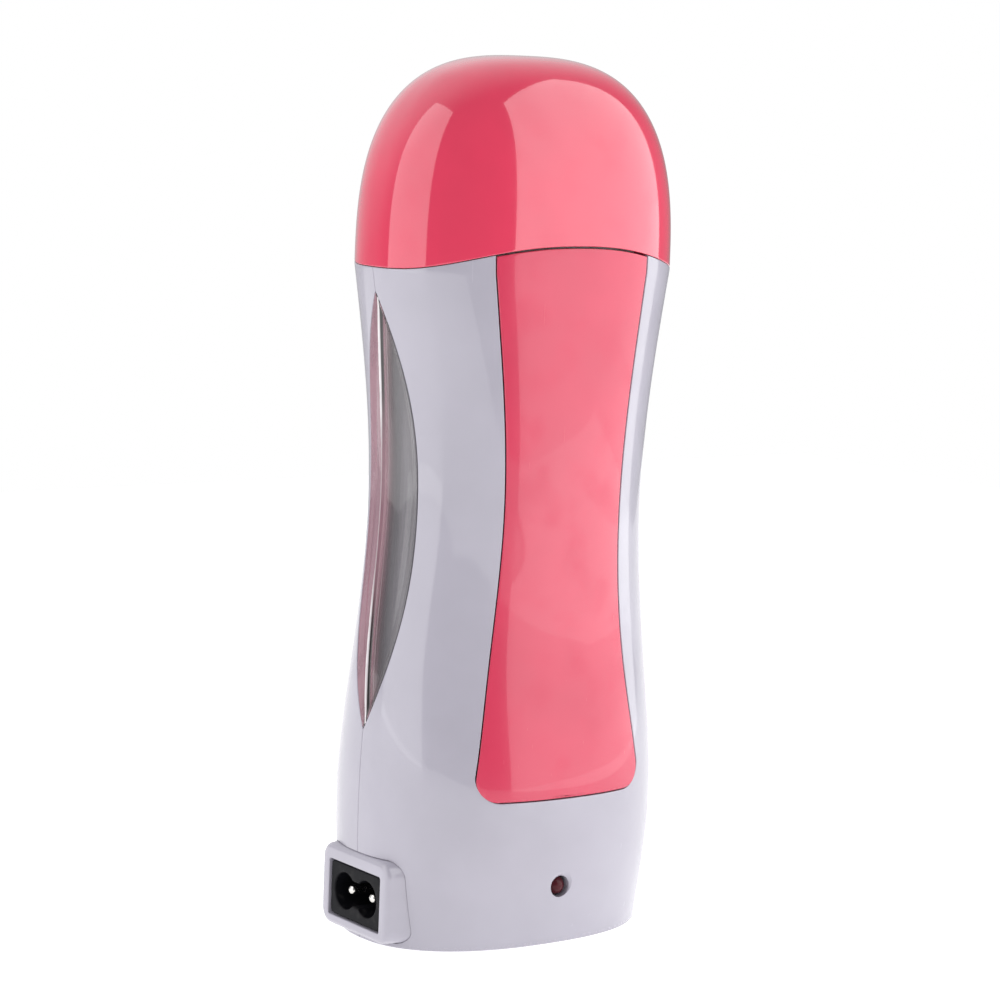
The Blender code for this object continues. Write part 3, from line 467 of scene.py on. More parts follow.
# %% [markdown]
# ## The grip panel
#
# A coral insert sits flush in the front shell, narrow at the waist, with round lower corners. It is drawn
# by its half width at four levels; near the lower edge the half width is cut back along a quarter circle.

# %% Grip panel
panel_bottom = 35.0 * mm
panel_corner = 5.5 * mm
panel_thick = 1.2 * mm
stretch_from = 140.0 * mm
panel_heights = np.array([35.0, 62.0, 98.0, 152.5]) * mm
panel_half_widths = np.array([23.3, 19.0, 15.9, 20.8]) * mm
panel_curve = natural_spline(panel_heights, panel_half_widths)


def panel_edge(z, grow=0.0):
    """Half width of the panel: the spline, less r - sqrt(r^2 - d^2) at a depth d into the corner."""
    radius = panel_corner + grow
    depth_in = radius - np.clip(z - (panel_bottom - grow), 0, radius)
    return panel_curve(z) + grow - radius + np.sqrt(radius ** 2 - depth_in ** 2)


def panel_levels(corner_rows, straight_rows):
    """Heights up the quarter circle of the corner, z0 + r (1 - cos t), then evenly to the shoulder."""
    corner = panel_bottom + panel_corner * (1 - np.cos(np.linspace(0, math.pi / 2, corner_rows)))
    return np.concatenate([corner, np.linspace(corner[-1], shoulder_z, straight_rows)[1:]])


def top_row_follows_seam(turn, z, below):
    """Stretch the heights above the shoulder's start so that the last row lies a little below the seam."""
    share = np.clip((z - stretch_from) / (shoulder_z - stretch_from), 0, 1)
    return z + share * (seam_height(turn) - below - shoulder_z)


levels_up = panel_levels(14, 120)
across = np.linspace(-1, 1, 61)
panel_x = panel_edge(levels_up)[:, None] * across[None, :]
panel_z = np.repeat(levels_up[:, None], len(across), axis=1)
panel_turn = turn_at_x(panel_x, panel_z)
panel_z = top_row_follows_seam(panel_turn, panel_z, seam_gap)
grip_panel = moulding("grip_panel", on_form(panel_turn, panel_z), on_form(panel_turn, panel_z, panel_thick))
settle(grip_panel, "heater", "panel_pink", "grip_panel")

# %% [markdown]
# ## The two shells
#
# The rear shell is a plain grid between the two joint lines. The front shell surrounds the panel on three
# sides, so its grid is a band in the shape of a U. One edge of the band is the panel's outline, the other
# is the joint line, the window's edge and the base. Both are written as angle and height on the form, and
# the rows in between are straight blends of the two, so every point lies exactly on the surface.

# %% Outline of a shell at its sides
foot_radius = 0.5 * mm
foot_height = 2 * mm
edge_radius = 0.12 * mm
joint_gap = 0.08 * mm


def side_turn(z, side, half):
    """Angle of the shell's side edge at height z: the window's edge plus a gap, or a hair from the joint."""
    y = half * np.maximum(window_edge(z, gap), joint_gap / 2)
    return turn_at_y(y, z, side)


def shell_lip(border):
    """The lip's radius: the edge radius, growing evenly to the foot radius over the foot's height."""
    return edge_radius + (foot_radius - edge_radius) * np.clip(1 - border[:, 2] / foot_height, 0, 1)


def shell_levels(count):
    """Heights from base to shoulder, crowded towards the two points of the windows."""
    tip, top = window_z - window_reach - gap, window_z + window_reach + gap
    below = np.linspace(0.0, tip, count // 4, endpoint=False)
    beside = window_z + (window_reach + gap) * np.sin(np.linspace(-math.pi / 2, math.pi / 2, count // 2))
    above = np.linspace(top, shoulder_z, count // 20 + 2)[1:]
    return np.concatenate([below, beside, above])


# %% Rear shell
def rear_grid(inset, rows=200, columns=120):
    """Angle runs straight from the right side edge to the left one, height follows the shell's levels."""
    z = shell_levels(rows)
    right = side_turn(z, 1, 1)
    left = side_turn(z, -1, 1) + 2 * math.pi
    turn = right[:, None] + (left - right)[:, None] * np.linspace(0, 1, columns)[None, :]
    z = np.repeat(z[:, None], columns, axis=1)
    z = top_row_follows_seam(turn, z, fine_seam / 2)
    return on_form(turn, z, inset)


rear_shell = moulding("rear_shell", rear_grid(0.0), rear_grid(wall), shell_lip)


# %% Front shell
def u_path(side_part, low_part):
    """A path down the left, across the bottom and up the right: the left half and its mirror image."""
    turn = np.concatenate([side_part[0], low_part[0]])
    z = np.concatenate([side_part[1], low_part[1]])
    return np.concatenate([turn, (-math.pi - turn)[::-1]]), np.concatenate([z, z[::-1]])


def panel_path(beside, corner_steps, bottom_steps):
    """The U path along the panel's outline, one gap outside it: side, quarter circle, lower edge."""
    radius = panel_corner + gap
    bend = np.linspace(0, math.pi / 2, corner_steps)
    widest = panel_edge(np.full_like(bend, panel_bottom + panel_corner), gap)
    corner_x = -(widest - radius + radius * np.cos(bend))
    corner_z = panel_bottom - gap + radius * (1 - np.sin(bend))
    bottom_x = np.linspace(corner_x[-1], 0, bottom_steps)[1:]
    x = np.append(corner_x, bottom_x)
    z = np.append(corner_z, np.full_like(bottom_x, panel_bottom - gap))
    return u_path((turn_at_x(-panel_edge(beside, gap), beside), beside), (turn_at_x(x, z), z))


def joint_path(beside, lower, bottom_steps):
    """The U path along the shell's own outline: window and joint, then the base."""
    start = float(side_turn(np.array(0.0), -1, -1))
    base_turn = np.linspace(start, -math.pi / 2, bottom_steps)[1:]
    low_turn = np.append(side_turn(lower, -1, -1), base_turn)
    return u_path((side_turn(beside, -1, -1), beside), (low_turn, np.append(lower, np.zeros_like(base_turn))))


def front_band(inset, rows=46, bottom_steps=40):
    """Straight blends, in angle and height, between the shell's outline and the panel's outline."""
    down = shell_levels(200)[::-1]
    bend_start = panel_bottom + panel_corner + 0.5 * mm
    beside, lower = down[down > bend_start], down[down <= bend_start]
    inner_turn, inner_z = panel_path(beside, len(lower), bottom_steps)
    outer_turn, outer_z = joint_path(beside, lower, bottom_steps)
    share = np.linspace(0, 1, rows)[:, None]
    turn = outer_turn + (inner_turn - outer_turn) * share
    z = outer_z + (inner_z - outer_z) * share
    return on_form(turn, top_row_follows_seam(turn, z, fine_seam / 2), inset)


front_shell = moulding("front_shell", front_band(0.0), front_band(wall), shell_lip)

# %% [markdown]
# ## Holes in the shells
#
# A collar for the mains inlet is gripped between the shells on the left, a pilot lamp looks out of the
# front, and four screws hold the halves together from the back. Their holes are round or rectangular, so
# they are cut with Boolean tools that are used up at once. The lamp's tool widens at its mouth and leaves a
# small chamfer.

# %% Collar outline
collar_low, collar_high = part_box("inlet_collar")
socket_low, socket_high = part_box("inlet_socket")
collar_face, collar_root = collar_low.x, collar_high.x
collar_z = (collar_low.z + collar_high.z) / 2
collar_root_half = collar_high.y
collar_face_half = 13.3 * mm
collar_slope = 0.3 * mm
collar_corner = 3.6 * mm
collar_edge = 1.3 * mm
collar_line = 0.12 * mm


def collar_ring(x, grow=0.0):
    """A rounded rectangle that widens evenly from the face to the root."""
    share = (x - collar_face) / (collar_root - collar_face)
    half_width = collar_face_half + (collar_root_half - collar_face_half) * share
    half_height = (collar_high.z - collar_low.z) / 2 - collar_slope * (1 - share)
    outline = rounded_rectangle(half_width + grow, half_height + grow, collar_corner + grow)
    return facing_side(x, outline, 0.0, collar_z)


# %% Cut the holes
lamp_low, lamp_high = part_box("pilot_lamp")
lamp_z = (lamp_low.z + lamp_high.z) / 2
lamp_hole = 2.5 * mm
lamp_chamfer = 0.4 * mm
front_face = -float(half_sizes(lamp_z)[1])
reach = 20 * mm


def collar_tool(name):
    """The collar's own solid, a hair larger and carried on at both ends."""
    return ring_solid(name, [collar_ring(x, collar_line) for x in (collar_face - reach, collar_root + reach)])


def lamp_tool():
    """A cylinder that widens at 45 degrees from a chamfer's depth inside the wall outwards."""
    steps = ((reach, lamp_hole), (lamp_chamfer, lamp_hole), (-reach, lamp_hole + lamp_chamfer + reach))
    rings = [(front_face + y, circle(radius, 64)) for y, radius in steps]
    return along_axis("lamp tool", rings, facing_front, 0, lamp_z)


screws = [f"case_screw_{number}" for number in range(1, 5)]
screw_places = {name: (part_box(name)[0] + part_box(name)[1]) / 2 for name in screws}
bore_radius, bore_start, bore_end = 2.8 * mm, 12 * mm, 40 * mm


def bore_tool(name):
    """A cylinder along Y for the screw's head."""
    rings = [(y, circle(bore_radius, 48)) for y in (bore_start, bore_end)]
    return along_axis(name + " tool", rings, facing_front, screw_places[name].x, screw_places[name].z)


carve(front_shell, collar_tool("front collar tool"), lamp_tool())
carve(rear_shell, collar_tool("rear collar tool"), *[bore_tool(name) for name in screws])
settle(front_shell, "heater", "body_white", "front_shell")
settle(rear_shell, "heater", "body_white", "rear_shell")


# %% [markdown]
# ## The floor and the screw bosses
#
# Each shell has a flat floor, and the rear shell has four tubes that the screws go down. Both are plain
# shapes: a half disc of the body's own section, and a ring carried along a short path.

# %% Floors
floor_lift = 0.05 * mm
floor_lip = 0.1 * mm
floor_end = 0.03


def floor_grid(side, z):
    """Across, x = a cos^(2/n) from side to side; out, y runs evenly from the joint to b sin^(2/n)."""
    half_width, half_depth = half_sizes(0.0, foot_radius + floor_lip)
    turn = np.linspace(floor_end, math.pi - floor_end, 80)[:, None]
    x = half_width * signed_power(np.cos(turn), 2 / section_power)
    far = half_depth * np.sin(turn) ** (2 / section_power)
    y = gap / 2 + (far - gap / 2) * np.linspace(0, 1, 12)[None, :]
    return np.stack(np.broadcast_arrays(x, side * y, z), axis=-1)


for name, side in (("front_floor", -1), ("rear_floor", 1)):
    under, over = floor_grid(side, floor_lift), floor_grid(side, wall)
    settle(moulding(name, under, over, lip=floor_lip, support=floor_lip), "heater", "body_white")


# %% Screw bosses
boss_start, boss_seat = 6.5 * mm, 8.0 * mm
boss_radius, boss_hole = 4.4 * mm, 1.6 * mm
boss_inside = bore_radius - 0.02 * mm


def screw_boss(number, place):
    """A tube round the screw's head, from its seat out to the middle of the shell's wall."""
    share = abs(place.x) / float(half_sizes(place.z)[0])
    skin = float(half_sizes(place.z)[1]) * (1 - share ** section_power) ** (1 / section_power)
    far = skin - wall / 2 - gap
    steps = ((boss_start, boss_radius), (far, boss_radius), (far, boss_inside),
             (boss_seat, boss_inside), (boss_seat, boss_hole), (boss_start, boss_hole))
    rings = [(y, circle(radius, 48)) for y, radius in steps]
    boss = along_axis(f"screw_boss_{number}", rings, facing_front, place.x, place.z, loop=True)
    settle(boss, "heater", "body_white")


for number, name in enumerate(screws, start=1):
    screw_boss(number, screw_places[name])

# %% [markdown]
# ## The mains inlet
#
# The inlet is a two-pin socket of the small figure-of-eight kind. Its outline can be written in polar form:
# in each direction from its middle, the recess reaches to whichever is further, one of two circles or a
# straight waist between them. The same directions serve the square block round it, so rings blend from one
# to the other.

# %% Collar
arc = np.radians([0, 18, 36, 54, 72, 90])
hole_lip = 0.25 * mm
hole_corner = 0.6 * mm
socket_z = (socket_low.z + socket_high.z) / 2
socket_half_height = (socket_high.z - socket_low.z) / 2


def hole_ring(x, grow=0.0):
    """The socket's own outline, one gap larger, with round corners."""
    half_width, half_height = socket_high.y + gap + grow, socket_half_height + gap + grow
    return facing_side(x, rounded_rectangle(half_width, half_height, hole_corner + grow), 0.0, socket_z)


def collar_edge_ring(t):
    """The collar's outline drawn in by e (1 - cos t) and moved forward by e sin t."""
    ring = collar_ring(collar_face + collar_edge, -collar_edge * (1 - math.cos(t)))
    ring[:, 0] -= collar_edge * math.sin(t)
    return ring


collar_rings = [collar_ring(x) for x in np.linspace(collar_root, collar_face + collar_edge, 6)]
collar_rings += [collar_edge_ring(t) for t in arc[1:]]
collar_rings += [hole_ring(collar_face + hole_lip * (1 - math.sin(t)), hole_lip * (1 - math.cos(t)))
                 for t in arc[::-1]]
collar_rings.append(hole_ring(collar_root))
settle(ring_solid("inlet_collar", collar_rings, loop=True), "heater", "body_white", "inlet_collar")

# %% Socket
pin_pitch = 8.6 * mm
lobe_radius = 4.2 * mm
waist_half = 2.9 * mm
recess_depth = 10.5 * mm
around_socket = directions(288)


def recess_reach(turn):
    """The further of a lobe, c cos t + sqrt(R^2 - c^2 sin^2 t), and the waist, w / |sin t|, while short."""
    centre = pin_pitch / 2
    cosine, sine = np.abs(np.cos(turn)), np.abs(np.sin(turn))
    under_root = lobe_radius ** 2 - (centre * sine) ** 2
    lobe = np.where(under_root >= 0, centre * cosine + np.sqrt(np.maximum(under_root, 0)), 0)
    waist = waist_half / np.maximum(sine, tiny)
    return np.maximum(lobe, np.where(waist * cosine <= centre, waist, 0))


def block_reach(turn, half_width, half_height, power=16):
    """A superellipse of a high power, which is a rectangle with slightly eased corners."""
    across, up = np.abs(np.cos(turn) / half_width), np.abs(np.sin(turn) / half_height)
    return (across ** power + up ** power) ** (-1 / power)


block = block_reach(around_socket, socket_high.y, socket_half_height)
recess = recess_reach(around_socket)
ease = 0.35 * mm
face = socket_low.x
reaches = [(socket_high.x, block), (face + ease, block)]
reaches += [(face + ease * (1 - math.sin(t)), block - ease * (1 - math.cos(t))) for t in arc[1:]]
reaches += [(face, recess + ease + (block - recess - 2 * ease) * share) for share in (0.75, 0.5, 0.25)]
reaches += [(face + ease * (1 - math.sin(t)), recess + ease * (1 - math.cos(t))) for t in arc[::-1]]
reaches += [(face + recess_depth, recess), (face + recess_depth, recess / 3)]
socket_steps = [(x, polar(around_socket, radius)) for x, radius in reaches]
socket = along_axis("inlet_socket", socket_steps, facing_side, 0.0, socket_z)
settle(socket, "heater", "socket_black", "inlet_socket")

# %% Pins
pin_low, pin_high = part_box("front_inlet_pin")
pin_radius = (pin_high.z - pin_low.z) / 2
tip_length = pin_radius * 0.8


def inlet_pin(name):
    """A round pin with a domed tip: radius r sin t where it stands h (1 - cos t) behind the tip."""
    low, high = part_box(name)
    steps = [(low.x + tip_length * (1 - math.cos(t)), circle(pin_radius * math.sin(t)))
             for t in np.radians([8, 20, 35, 50, 65, 78, 90])]
    steps.append((high.x, circle(pin_radius)))
    pin = along_axis(name, steps, facing_side, (low.y + high.y) / 2, socket_z)
    settle(pin, "heater", "bright_metal", name)


inlet_pin("front_inlet_pin")
inlet_pin("rear_inlet_pin")

# %% [markdown]
# ## Pilot lamp, screws, neck and well
#
# The lamp is a small domed diode just behind the surface. The screws have a cross recess, whose outline is
# again the further of two bars in each direction. The neck is a thin wall with a shelf, and the well is a
# drawn aluminium cup that hangs on the shelf by its lip and has a sight slot behind each window.

# %% Pilot lamp
lamp_radius = 2.25 * mm
lamp_forward = 1.0 * mm
flange_radius = (lamp_high.x - lamp_low.x) / 2
flange_thick = 1 * mm
flange_front = lamp_high.y - flange_thick
dome_start = lamp_low.y - lamp_forward + lamp_radius
radii = [(lamp_high.y, flange_radius), (flange_front, flange_radius), (flange_front, lamp_radius)]
radii += [(dome_start - lamp_radius * math.sin(t), lamp_radius * math.cos(t))
          for t in np.radians([0, 12, 24, 36, 48, 60, 72, 84])]
lamp_steps = [(y, circle(radius, 48)) for y, radius in radii]
lamp = along_axis("pilot_lamp", lamp_steps, facing_front, 0.0, lamp_z)
settle(lamp, "heater", "lamp_red", "pilot_lamp")


# %% Screws
shank, head_height, head_round = 1.3 * mm, 1.8 * mm, 0.9 * mm
cross_reach, cross_half, cross_depth = 1.5 * mm, 0.32 * mm, 1.1 * mm
around_screw = directions(96)


def cross_radius():
    """The further of two bars: min(L / |cos t|, w / |sin t|), and the same turned a quarter."""
    cosine = np.maximum(np.abs(np.cos(around_screw)), tiny)
    sine = np.maximum(np.abs(np.sin(around_screw)), tiny)
    return np.maximum(np.minimum(cross_reach / cosine, cross_half / sine),
                      np.minimum(cross_reach / sine, cross_half / cosine))


def case_screw(name):
    """A pointed shank, a cylinder with a rounded upper edge for the head, and the cross sunk in it."""
    low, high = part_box(name)
    head, under = (high.x - low.x) / 2, high.y - head_height
    radii = [(low.y, 0.4 * shank), (low.y + shank, shank), (under, shank), (under, head)]
    radii += [(high.y - head_round * (1 - math.sin(t)), head - head_round * (1 - math.cos(t)))
              for t in np.radians([0, 25, 50, 70, 90])]
    radii += [(high.y, cross_radius()), (high.y - cross_depth, 0.75 * cross_radius())]
    steps = [(y, polar(around_screw, radius)) for y, radius in radii]
    screw = along_axis(name, steps, facing_front, screw_places[name].x, screw_places[name].z)
    settle(screw, "heater", "bright_metal", name)


for name in screws:
    case_screw(name)

# %% Neck ring
neck_low, neck_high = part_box("neck_ring")
well_low, well_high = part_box("cartridge_well")
shelf_top = 152.0 * mm
shelf_bottom = 150.0 * mm
neck_wall = 1.8 * mm
well_wall = 1.2 * mm
well_lip = 1.0 * mm
shelf_round = 0.5 * mm
well_half_width = well_high.x - well_lip
well_half_depth = well_high.y - well_lip
well_corner = 13.7 * mm
around_neck = directions(200)


def neck_outline(inset):
    """The body's own section at the neck, drawn in by the inset: a superellipse in polar form."""
    half_width, half_depth = neck_high.x - inset, neck_high.y - inset
    across = np.abs(np.cos(around_neck) / half_width) ** section_power
    along = np.abs(np.sin(around_neck) / half_depth) ** section_power
    return polar(around_neck, (across + along) ** (-1 / section_power))


def well_outline(grow):
    """The well's rounded rectangle, read off at the same directions as the neck."""
    outline = rounded_rectangle(well_half_width + grow, well_half_depth + grow, well_corner + grow, 60, 40)
    angle = np.unwrap(np.arctan2(outline[:, 1], outline[:, 0]))
    radius = np.hypot(outline[:, 0], outline[:, 1])
    return polar(around_neck, np.interp(around_neck, angle, radius, period=2 * math.pi))


half_wall = neck_wall / 2
neck_steps = [(neck_low.z, neck_outline(0)), (neck_high.z - half_wall, neck_outline(0))]
neck_steps += [(neck_high.z - half_wall * (1 - math.sin(t)), neck_outline(half_wall * (1 - math.cos(t))))
               for t in arc[1:]]
neck_steps += [(neck_high.z - half_wall * (1 - math.cos(t)), neck_outline(half_wall * (1 + math.sin(t))))
               for t in arc[1:]]
neck_steps += [(shelf_top + shelf_round, neck_outline(neck_wall)),
               (shelf_top, neck_outline(neck_wall + shelf_round))]
neck_steps += [(shelf_top, well_outline(gap)), (shelf_bottom, well_outline(gap))]
neck_steps += [(shelf_bottom, neck_outline(neck_wall)), (neck_low.z, neck_outline(neck_wall))]
settle(along_axis("neck_ring", neck_steps, facing_up, loop=True), "heater", "inner_white", "neck_ring")

# %% Cartridge well
lip_under = shelf_top + gap
lip_thick = 0.6 * mm
floor_round = 2.0 * mm
side_start = well_low.z + 6 * mm
mouth_start = well_high.z - 1 * mm
mouth_grow = well_lip - 0.5 * mm, 0.2 * mm - well_wall
well_steps = [(well_low.z + floor_round * (1 - math.sin(t)), well_outline(-floor_round * (1 - math.cos(t))))
              for t in arc[::-1]]
well_steps += [(z, well_outline(0)) for z in np.linspace(side_start, lip_under, 12)]
well_steps += [(lip_under, well_outline(well_lip)), (lip_under + lip_thick, well_outline(well_lip))]
well_steps += [(well_high.z, well_outline(grow)) for grow in mouth_grow]
well_steps += [(z, well_outline(-well_wall)) for z in np.linspace(mouth_start, side_start, 12)]
well_steps += [(well_low.z + well_wall + floor_round * (1 - math.cos(t)),
                well_outline(-well_wall - floor_round * (1 - math.sin(t)))) for t in arc[::-1]]
well = along_axis("cartridge_well", well_steps[::-1], facing_up)


# %% Sight slots
slot_half, slot_low, slot_high = 5.0 * mm, 62.0 * mm, 136.0 * mm
slot_reach = 45 * mm
slot_outline = rounded_rectangle(slot_half, (slot_high - slot_low) / 2, slot_half - 0.1 * mm, 20, 4)
slot_steps = [(x, slot_outline) for x in (-slot_reach, slot_reach)]
carve(well, along_axis("slot tool", slot_steps, facing_side, 0.0, (slot_low + slot_high) / 2))
settle(well, "heater", "well_aluminium", "cartridge_well")

# %% [markdown]
# ## Shader maths
#
# Blender's materials are graphs of nodes, and sums written as nodes are hard to read. The first class below
# wraps a socket, so that an ordinary expression such as 0.2 + 0.1 * cloud adds the Math nodes. The second
# adds every other kind of node, and the third is a material. Colours and vectors don't go through Math
# nodes, which would turn them grey; they have their own mix.

# %% A socket that can be used in sums
def sum_node(operation, turned=False):
    """A method that adds one Math node. Turned takes its values the other way round, as 1 - mask needs."""
    def add(*values):
        settings = {"operation": operation}
        return values[0].graph.node("Math", settings, dict(enumerate(values[::-1] if turned else values)))

    return add


class Value:
    """A socket of a graph, to write sums with."""

    def __init__(self, graph, socket):
        self.graph = graph
        self.socket = socket

    __add__ = __radd__ = sum_node("ADD")
    __mul__ = __rmul__ = sum_node("MULTIPLY")
    __sub__, __rsub__ = sum_node("SUBTRACT"), sum_node("SUBTRACT", turned=True)
    __truediv__, __pow__ = sum_node("DIVIDE"), sum_node("POWER")
    __gt__, __lt__ = sum_node("GREATER_THAN"), sum_node("LESS_THAN")
    abs, fract = sum_node("ABSOLUTE"), sum_node("FRACT")


# %% A graph of nodes
class Graph:
    """The nodes of a material or of the world."""

    def __init__(self, owner):
        owner.use_nodes = True
        self.tree = owner.node_tree

    def feed(self, socket, value):
        """Link a value to a socket, or write a number, a vector or a colour on it."""
        if isinstance(value, Value):
            self.tree.links.new(value.socket, socket)
        elif socket.type == "RGBA":
            socket.default_value = (*value, 1.0)
        else:
            socket.default_value = value

    def node(self, kind, settings=None, values=None, output=0):
        """Add a node: its type, then its settings, then the values or links of its sockets."""
        made = self.tree.nodes.new("ShaderNode" + kind)
        for setting, value in (settings or {}).items():
            setattr(made, setting, value)
        for socket, value in (values or {}).items():
            self.feed(made.inputs[socket], value)
        return Value(self, made.outputs[output])


# %% A material under construction
class Finish(Graph):
    """One material: uniform values go on its shader's own sockets, varying ones are linked."""

    def __init__(self, name, **uniform):
        self.material = bpy.data.materials.new(name)
        super().__init__(self.material)
        self.shader = self.tree.nodes["Principled BSDF"]
        for socket, value in uniform.items():
            self.set(socket.replace("_", " "), value)

    def set(self, socket, value):
        """Feed one of the shader's sockets."""
        self.feed(self.shader.inputs[socket], value)

    def place(self, axis=None, stretch=(1, 1, 1)):
        """The piece's own coordinates, whole or along one axis, in metres."""
        spot = self.node("TexCoord", output="Object")
        if axis is not None:
            return self.node("SeparateXYZ", values={0: spot}, output=axis)
        if stretch == (1, 1, 1):
            return spot
        return self.node("VectorMath", {"operation": "MULTIPLY"}, {0: spot, 1: stretch})

    def noise(self, size, detail=2.0, stretch=(1, 1, 1)):
        """Smooth noise between 0 and 1 whose lumps are about this size in metres."""
        values = {"Vector": self.place(stretch=stretch), "Scale": 1 / size, "Detail": detail}
        return self.node("TexNoise", values=values)

    def ramp(self, value, low, high):
        """0 below low, 1 above high and a smooth step between them."""
        settings = {"interpolation_type": "SMOOTHSTEP"}
        return self.node("MapRange", settings, {"Value": value, "From Min": low, "From Max": high})

    def mix(self, factor, first, second):
        """Blend two colours."""
        return self.node("Mix", {"data_type": "RGBA"}, {0: factor, 6: first, 7: second}, output=2)

    def bump(self, height, depth):
        """Raise and lower the surface by the height, which runs from 0 to 1, times the depth in metres."""
        self.set("Normal", self.node("Bump", values={"Height": height, "Distance": depth}))

    def patterned(self, pattern, first, second, roughness, rougher):
        """Blend two colours and roughen the surface by one pattern."""
        self.set("Base Color", self.mix(pattern, first, second))
        self.set("Roughness", roughness + rougher * pattern)

    def cover(self, *names):
        """Give the finish to new pieces, or to CAD nodes that stay."""
        for name in names:
            thing = pieces[name]
            if not thing.material_slots:
                thing.data.materials.append(self.material)
            for slot in thing.material_slots:
                slot.material = self.material
        print(self.material.name, "covers", ", ".join(names))


# %% [markdown]
# ## Moulded plastic
#
# Nearly everything outside is injection moulded ABS, polished in the tool. Real ABS isn't one flat colour.
# The pigment is faintly cloudy, hands leave duller patches, cloths leave hairlines, and the surface has the
# slight waviness called orange peel. Edges that stand on a table or are pulled off a neck are scuffed. One
# function makes them all, with a colour, a gloss and the height where the scuffs begin.

# %% Moulded plastic
scuff_fade = 1.6 * mm


def tint(colour, share, more=0.0):
    """The colour darker or lighter by a share, and paler by the same amount in every channel."""
    return tuple(share * channel + more for channel in colour)


def moulded(name, colour, roughness, coat, peel, scuffs_below, *names):
    """Cloudy pigment, hand marks, hairlines, orange peel and a scuffed lower edge."""
    finish = Finish(name, IOR=1.5, Coat_Roughness=0.03, Coat_IOR=1.7)
    dark, light, worn = tint(colour, 0.96), tint(colour, 1.03), tint(colour, 0.82, 0.04)
    cloud = finish.ramp(finish.noise(22 * mm, 3), 0.3, 0.7)
    hands = finish.ramp(finish.noise(9 * mm, 4), 0.45, 0.75)
    hairs = finish.ramp(finish.noise(0.5 * mm, 1, stretch=(1, 1, 0.03)), 0.73, 0.80)
    specks = finish.ramp(finish.noise(0.9 * mm, 3), 0.42, 0.62)
    edge = (1 - finish.ramp(finish.place(2), scuffs_below - scuff_fade, scuffs_below)) * specks
    finish.set("Base Color", finish.mix(edge, finish.mix(cloud, dark, light), worn))
    finish.set("Roughness", roughness + 0.05 * hands + 0.06 * hairs + 0.3 * edge)
    finish.set("Coat Weight", coat - 0.15 * hands - coat * 0.6 * edge)
    finish.bump(finish.noise(0.8 * mm, 2) - 0.04 * hairs, peel)
    finish.cover(*names)


white = (0.44, 0.42, 0.49)
coral = (0.76, 0.036, 0.098)
coral_panel = (0.66, 0.038, 0.096)
natural = (0.62, 0.60, 0.60)
white_pieces = ["front_shell", "rear_shell", "inlet_collar", "front_floor", "rear_floor"]
white_pieces += [f"screw_boss_{number}" for number in range(1, 5)]
moulded("white ABS", white, 0.20, 0.55, 0.004 * mm, 1.6 * mm, *white_pieces)
moulded("coral ABS of the cap", coral, 0.10, 0.9, 0.0025 * mm, shoulder_z + 1.2 * mm, "cap")
moulded("coral ABS of the panel", coral_panel, 0.22, 0.4, 0.006 * mm, panel_bottom + 0.8 * mm, "grip_panel")
moulded("natural white nylon", natural, 0.42, 0.0, 0.01 * mm, 147 * mm, "neck_ring")

# %% [markdown]
# ## The smoked windows
#
# The panes are clear polycarbonate with a little grey smoke in it. Their colour also holds painted light:
# the grey is darker by the rib as painted shade, behind the rib the pink is a painted reflection of the
# pink neighbours, and the rib carries a painted highlight between bands of painted shadow. Letting part
# of the light straight through with Alpha shows the well behind it at any sample count, where true
# refraction would stay dark and grainy.

# %% Smoked pane
pane = Finish("smoked polycarbonate", Roughness=0.08, IOR=1.5, Coat_Weight=1.0, Coat_Roughness=0.02)
crest_power = 2.5
share = (pane.place(2) - window_z).abs() / window_reach
crest = rib_start + rib_bow * (1 - share ** crest_power)
in_front = crest - pane.place(1)
streaks = pane.ramp(pane.noise(3.5 * mm, 3, stretch=(1, 1, 0.08)), 0.35, 0.65)
# Grey smoke with painted shade: darker by the rib, lighter towards the front edge.
smoke_and_painted_shade = pane.mix(pane.ramp(in_front, 1 * mm, 9 * mm), (0.06, 0.056, 0.06), (0.34, 0.32, 0.35))
smoke_and_painted_shade = pane.mix(streaks * 0.5, smoke_and_painted_shade, (0.10, 0.095, 0.10))
# Behind the rib the colour turns pink: a painted reflection of the neighbouring pink parts.
painted_pink_reflection_and_smoke = pane.mix(pane.ramp(in_front, 0, 4 * mm), (0.52, 0.28, 0.34), smoke_and_painted_shade)
near_tips = 0.25 + 0.75 * pane.ramp(share, 0.2, 0.6)
# Dark bands on both sides of the rib's crest: painted shadow at the rib's foot, strongest towards the points,
# where the pane is also made less clear.
foot = (1 - pane.ramp(in_front.abs(), 0.5 * mm, 1.1 * mm)) * near_tips
# A pale line along the rib's crest: a painted highlight.
line = (1 - pane.ramp(in_front.abs(), 0.12 * mm, 0.26 * mm)) * (0.45 + 0.55 * near_tips)
pane.set("Base Color", pane.mix(line, pane.mix(foot, painted_pink_reflection_and_smoke, (0.02, 0.015, 0.017)), (0.95, 0.90, 0.92)))
pane.set("Alpha", 0.45 + 0.15 * streaks + 0.5 * foot)
pane.bump(pane.noise(6 * mm, 2, stretch=(1, 1, 0.3)), 0.02 * mm)
pane.cover("left_window", "right_window")

# %% [markdown]
# ## Metals
#
# The well is drawn from aluminium sheet, and the die leaves fine lines up its walls. Pins and screws are
# nickel plated steel, which is brighter and has a few dull spots.

# %% Aluminium and nickel
drawn = Finish("drawn aluminium", Metallic=1.0)
lines = drawn.noise(0.35 * mm, 3, stretch=(1, 1, 0.02))
haze = drawn.noise(14 * mm, 3)
drawn.set("Base Color", drawn.mix(haze, (0.62, 0.61, 0.62), (0.80, 0.79, 0.79)))
drawn.set("Roughness", 0.26 + 0.16 * lines + 0.1 * haze)
drawn.bump(lines, 0.01 * mm)
drawn.cover("cartridge_well")

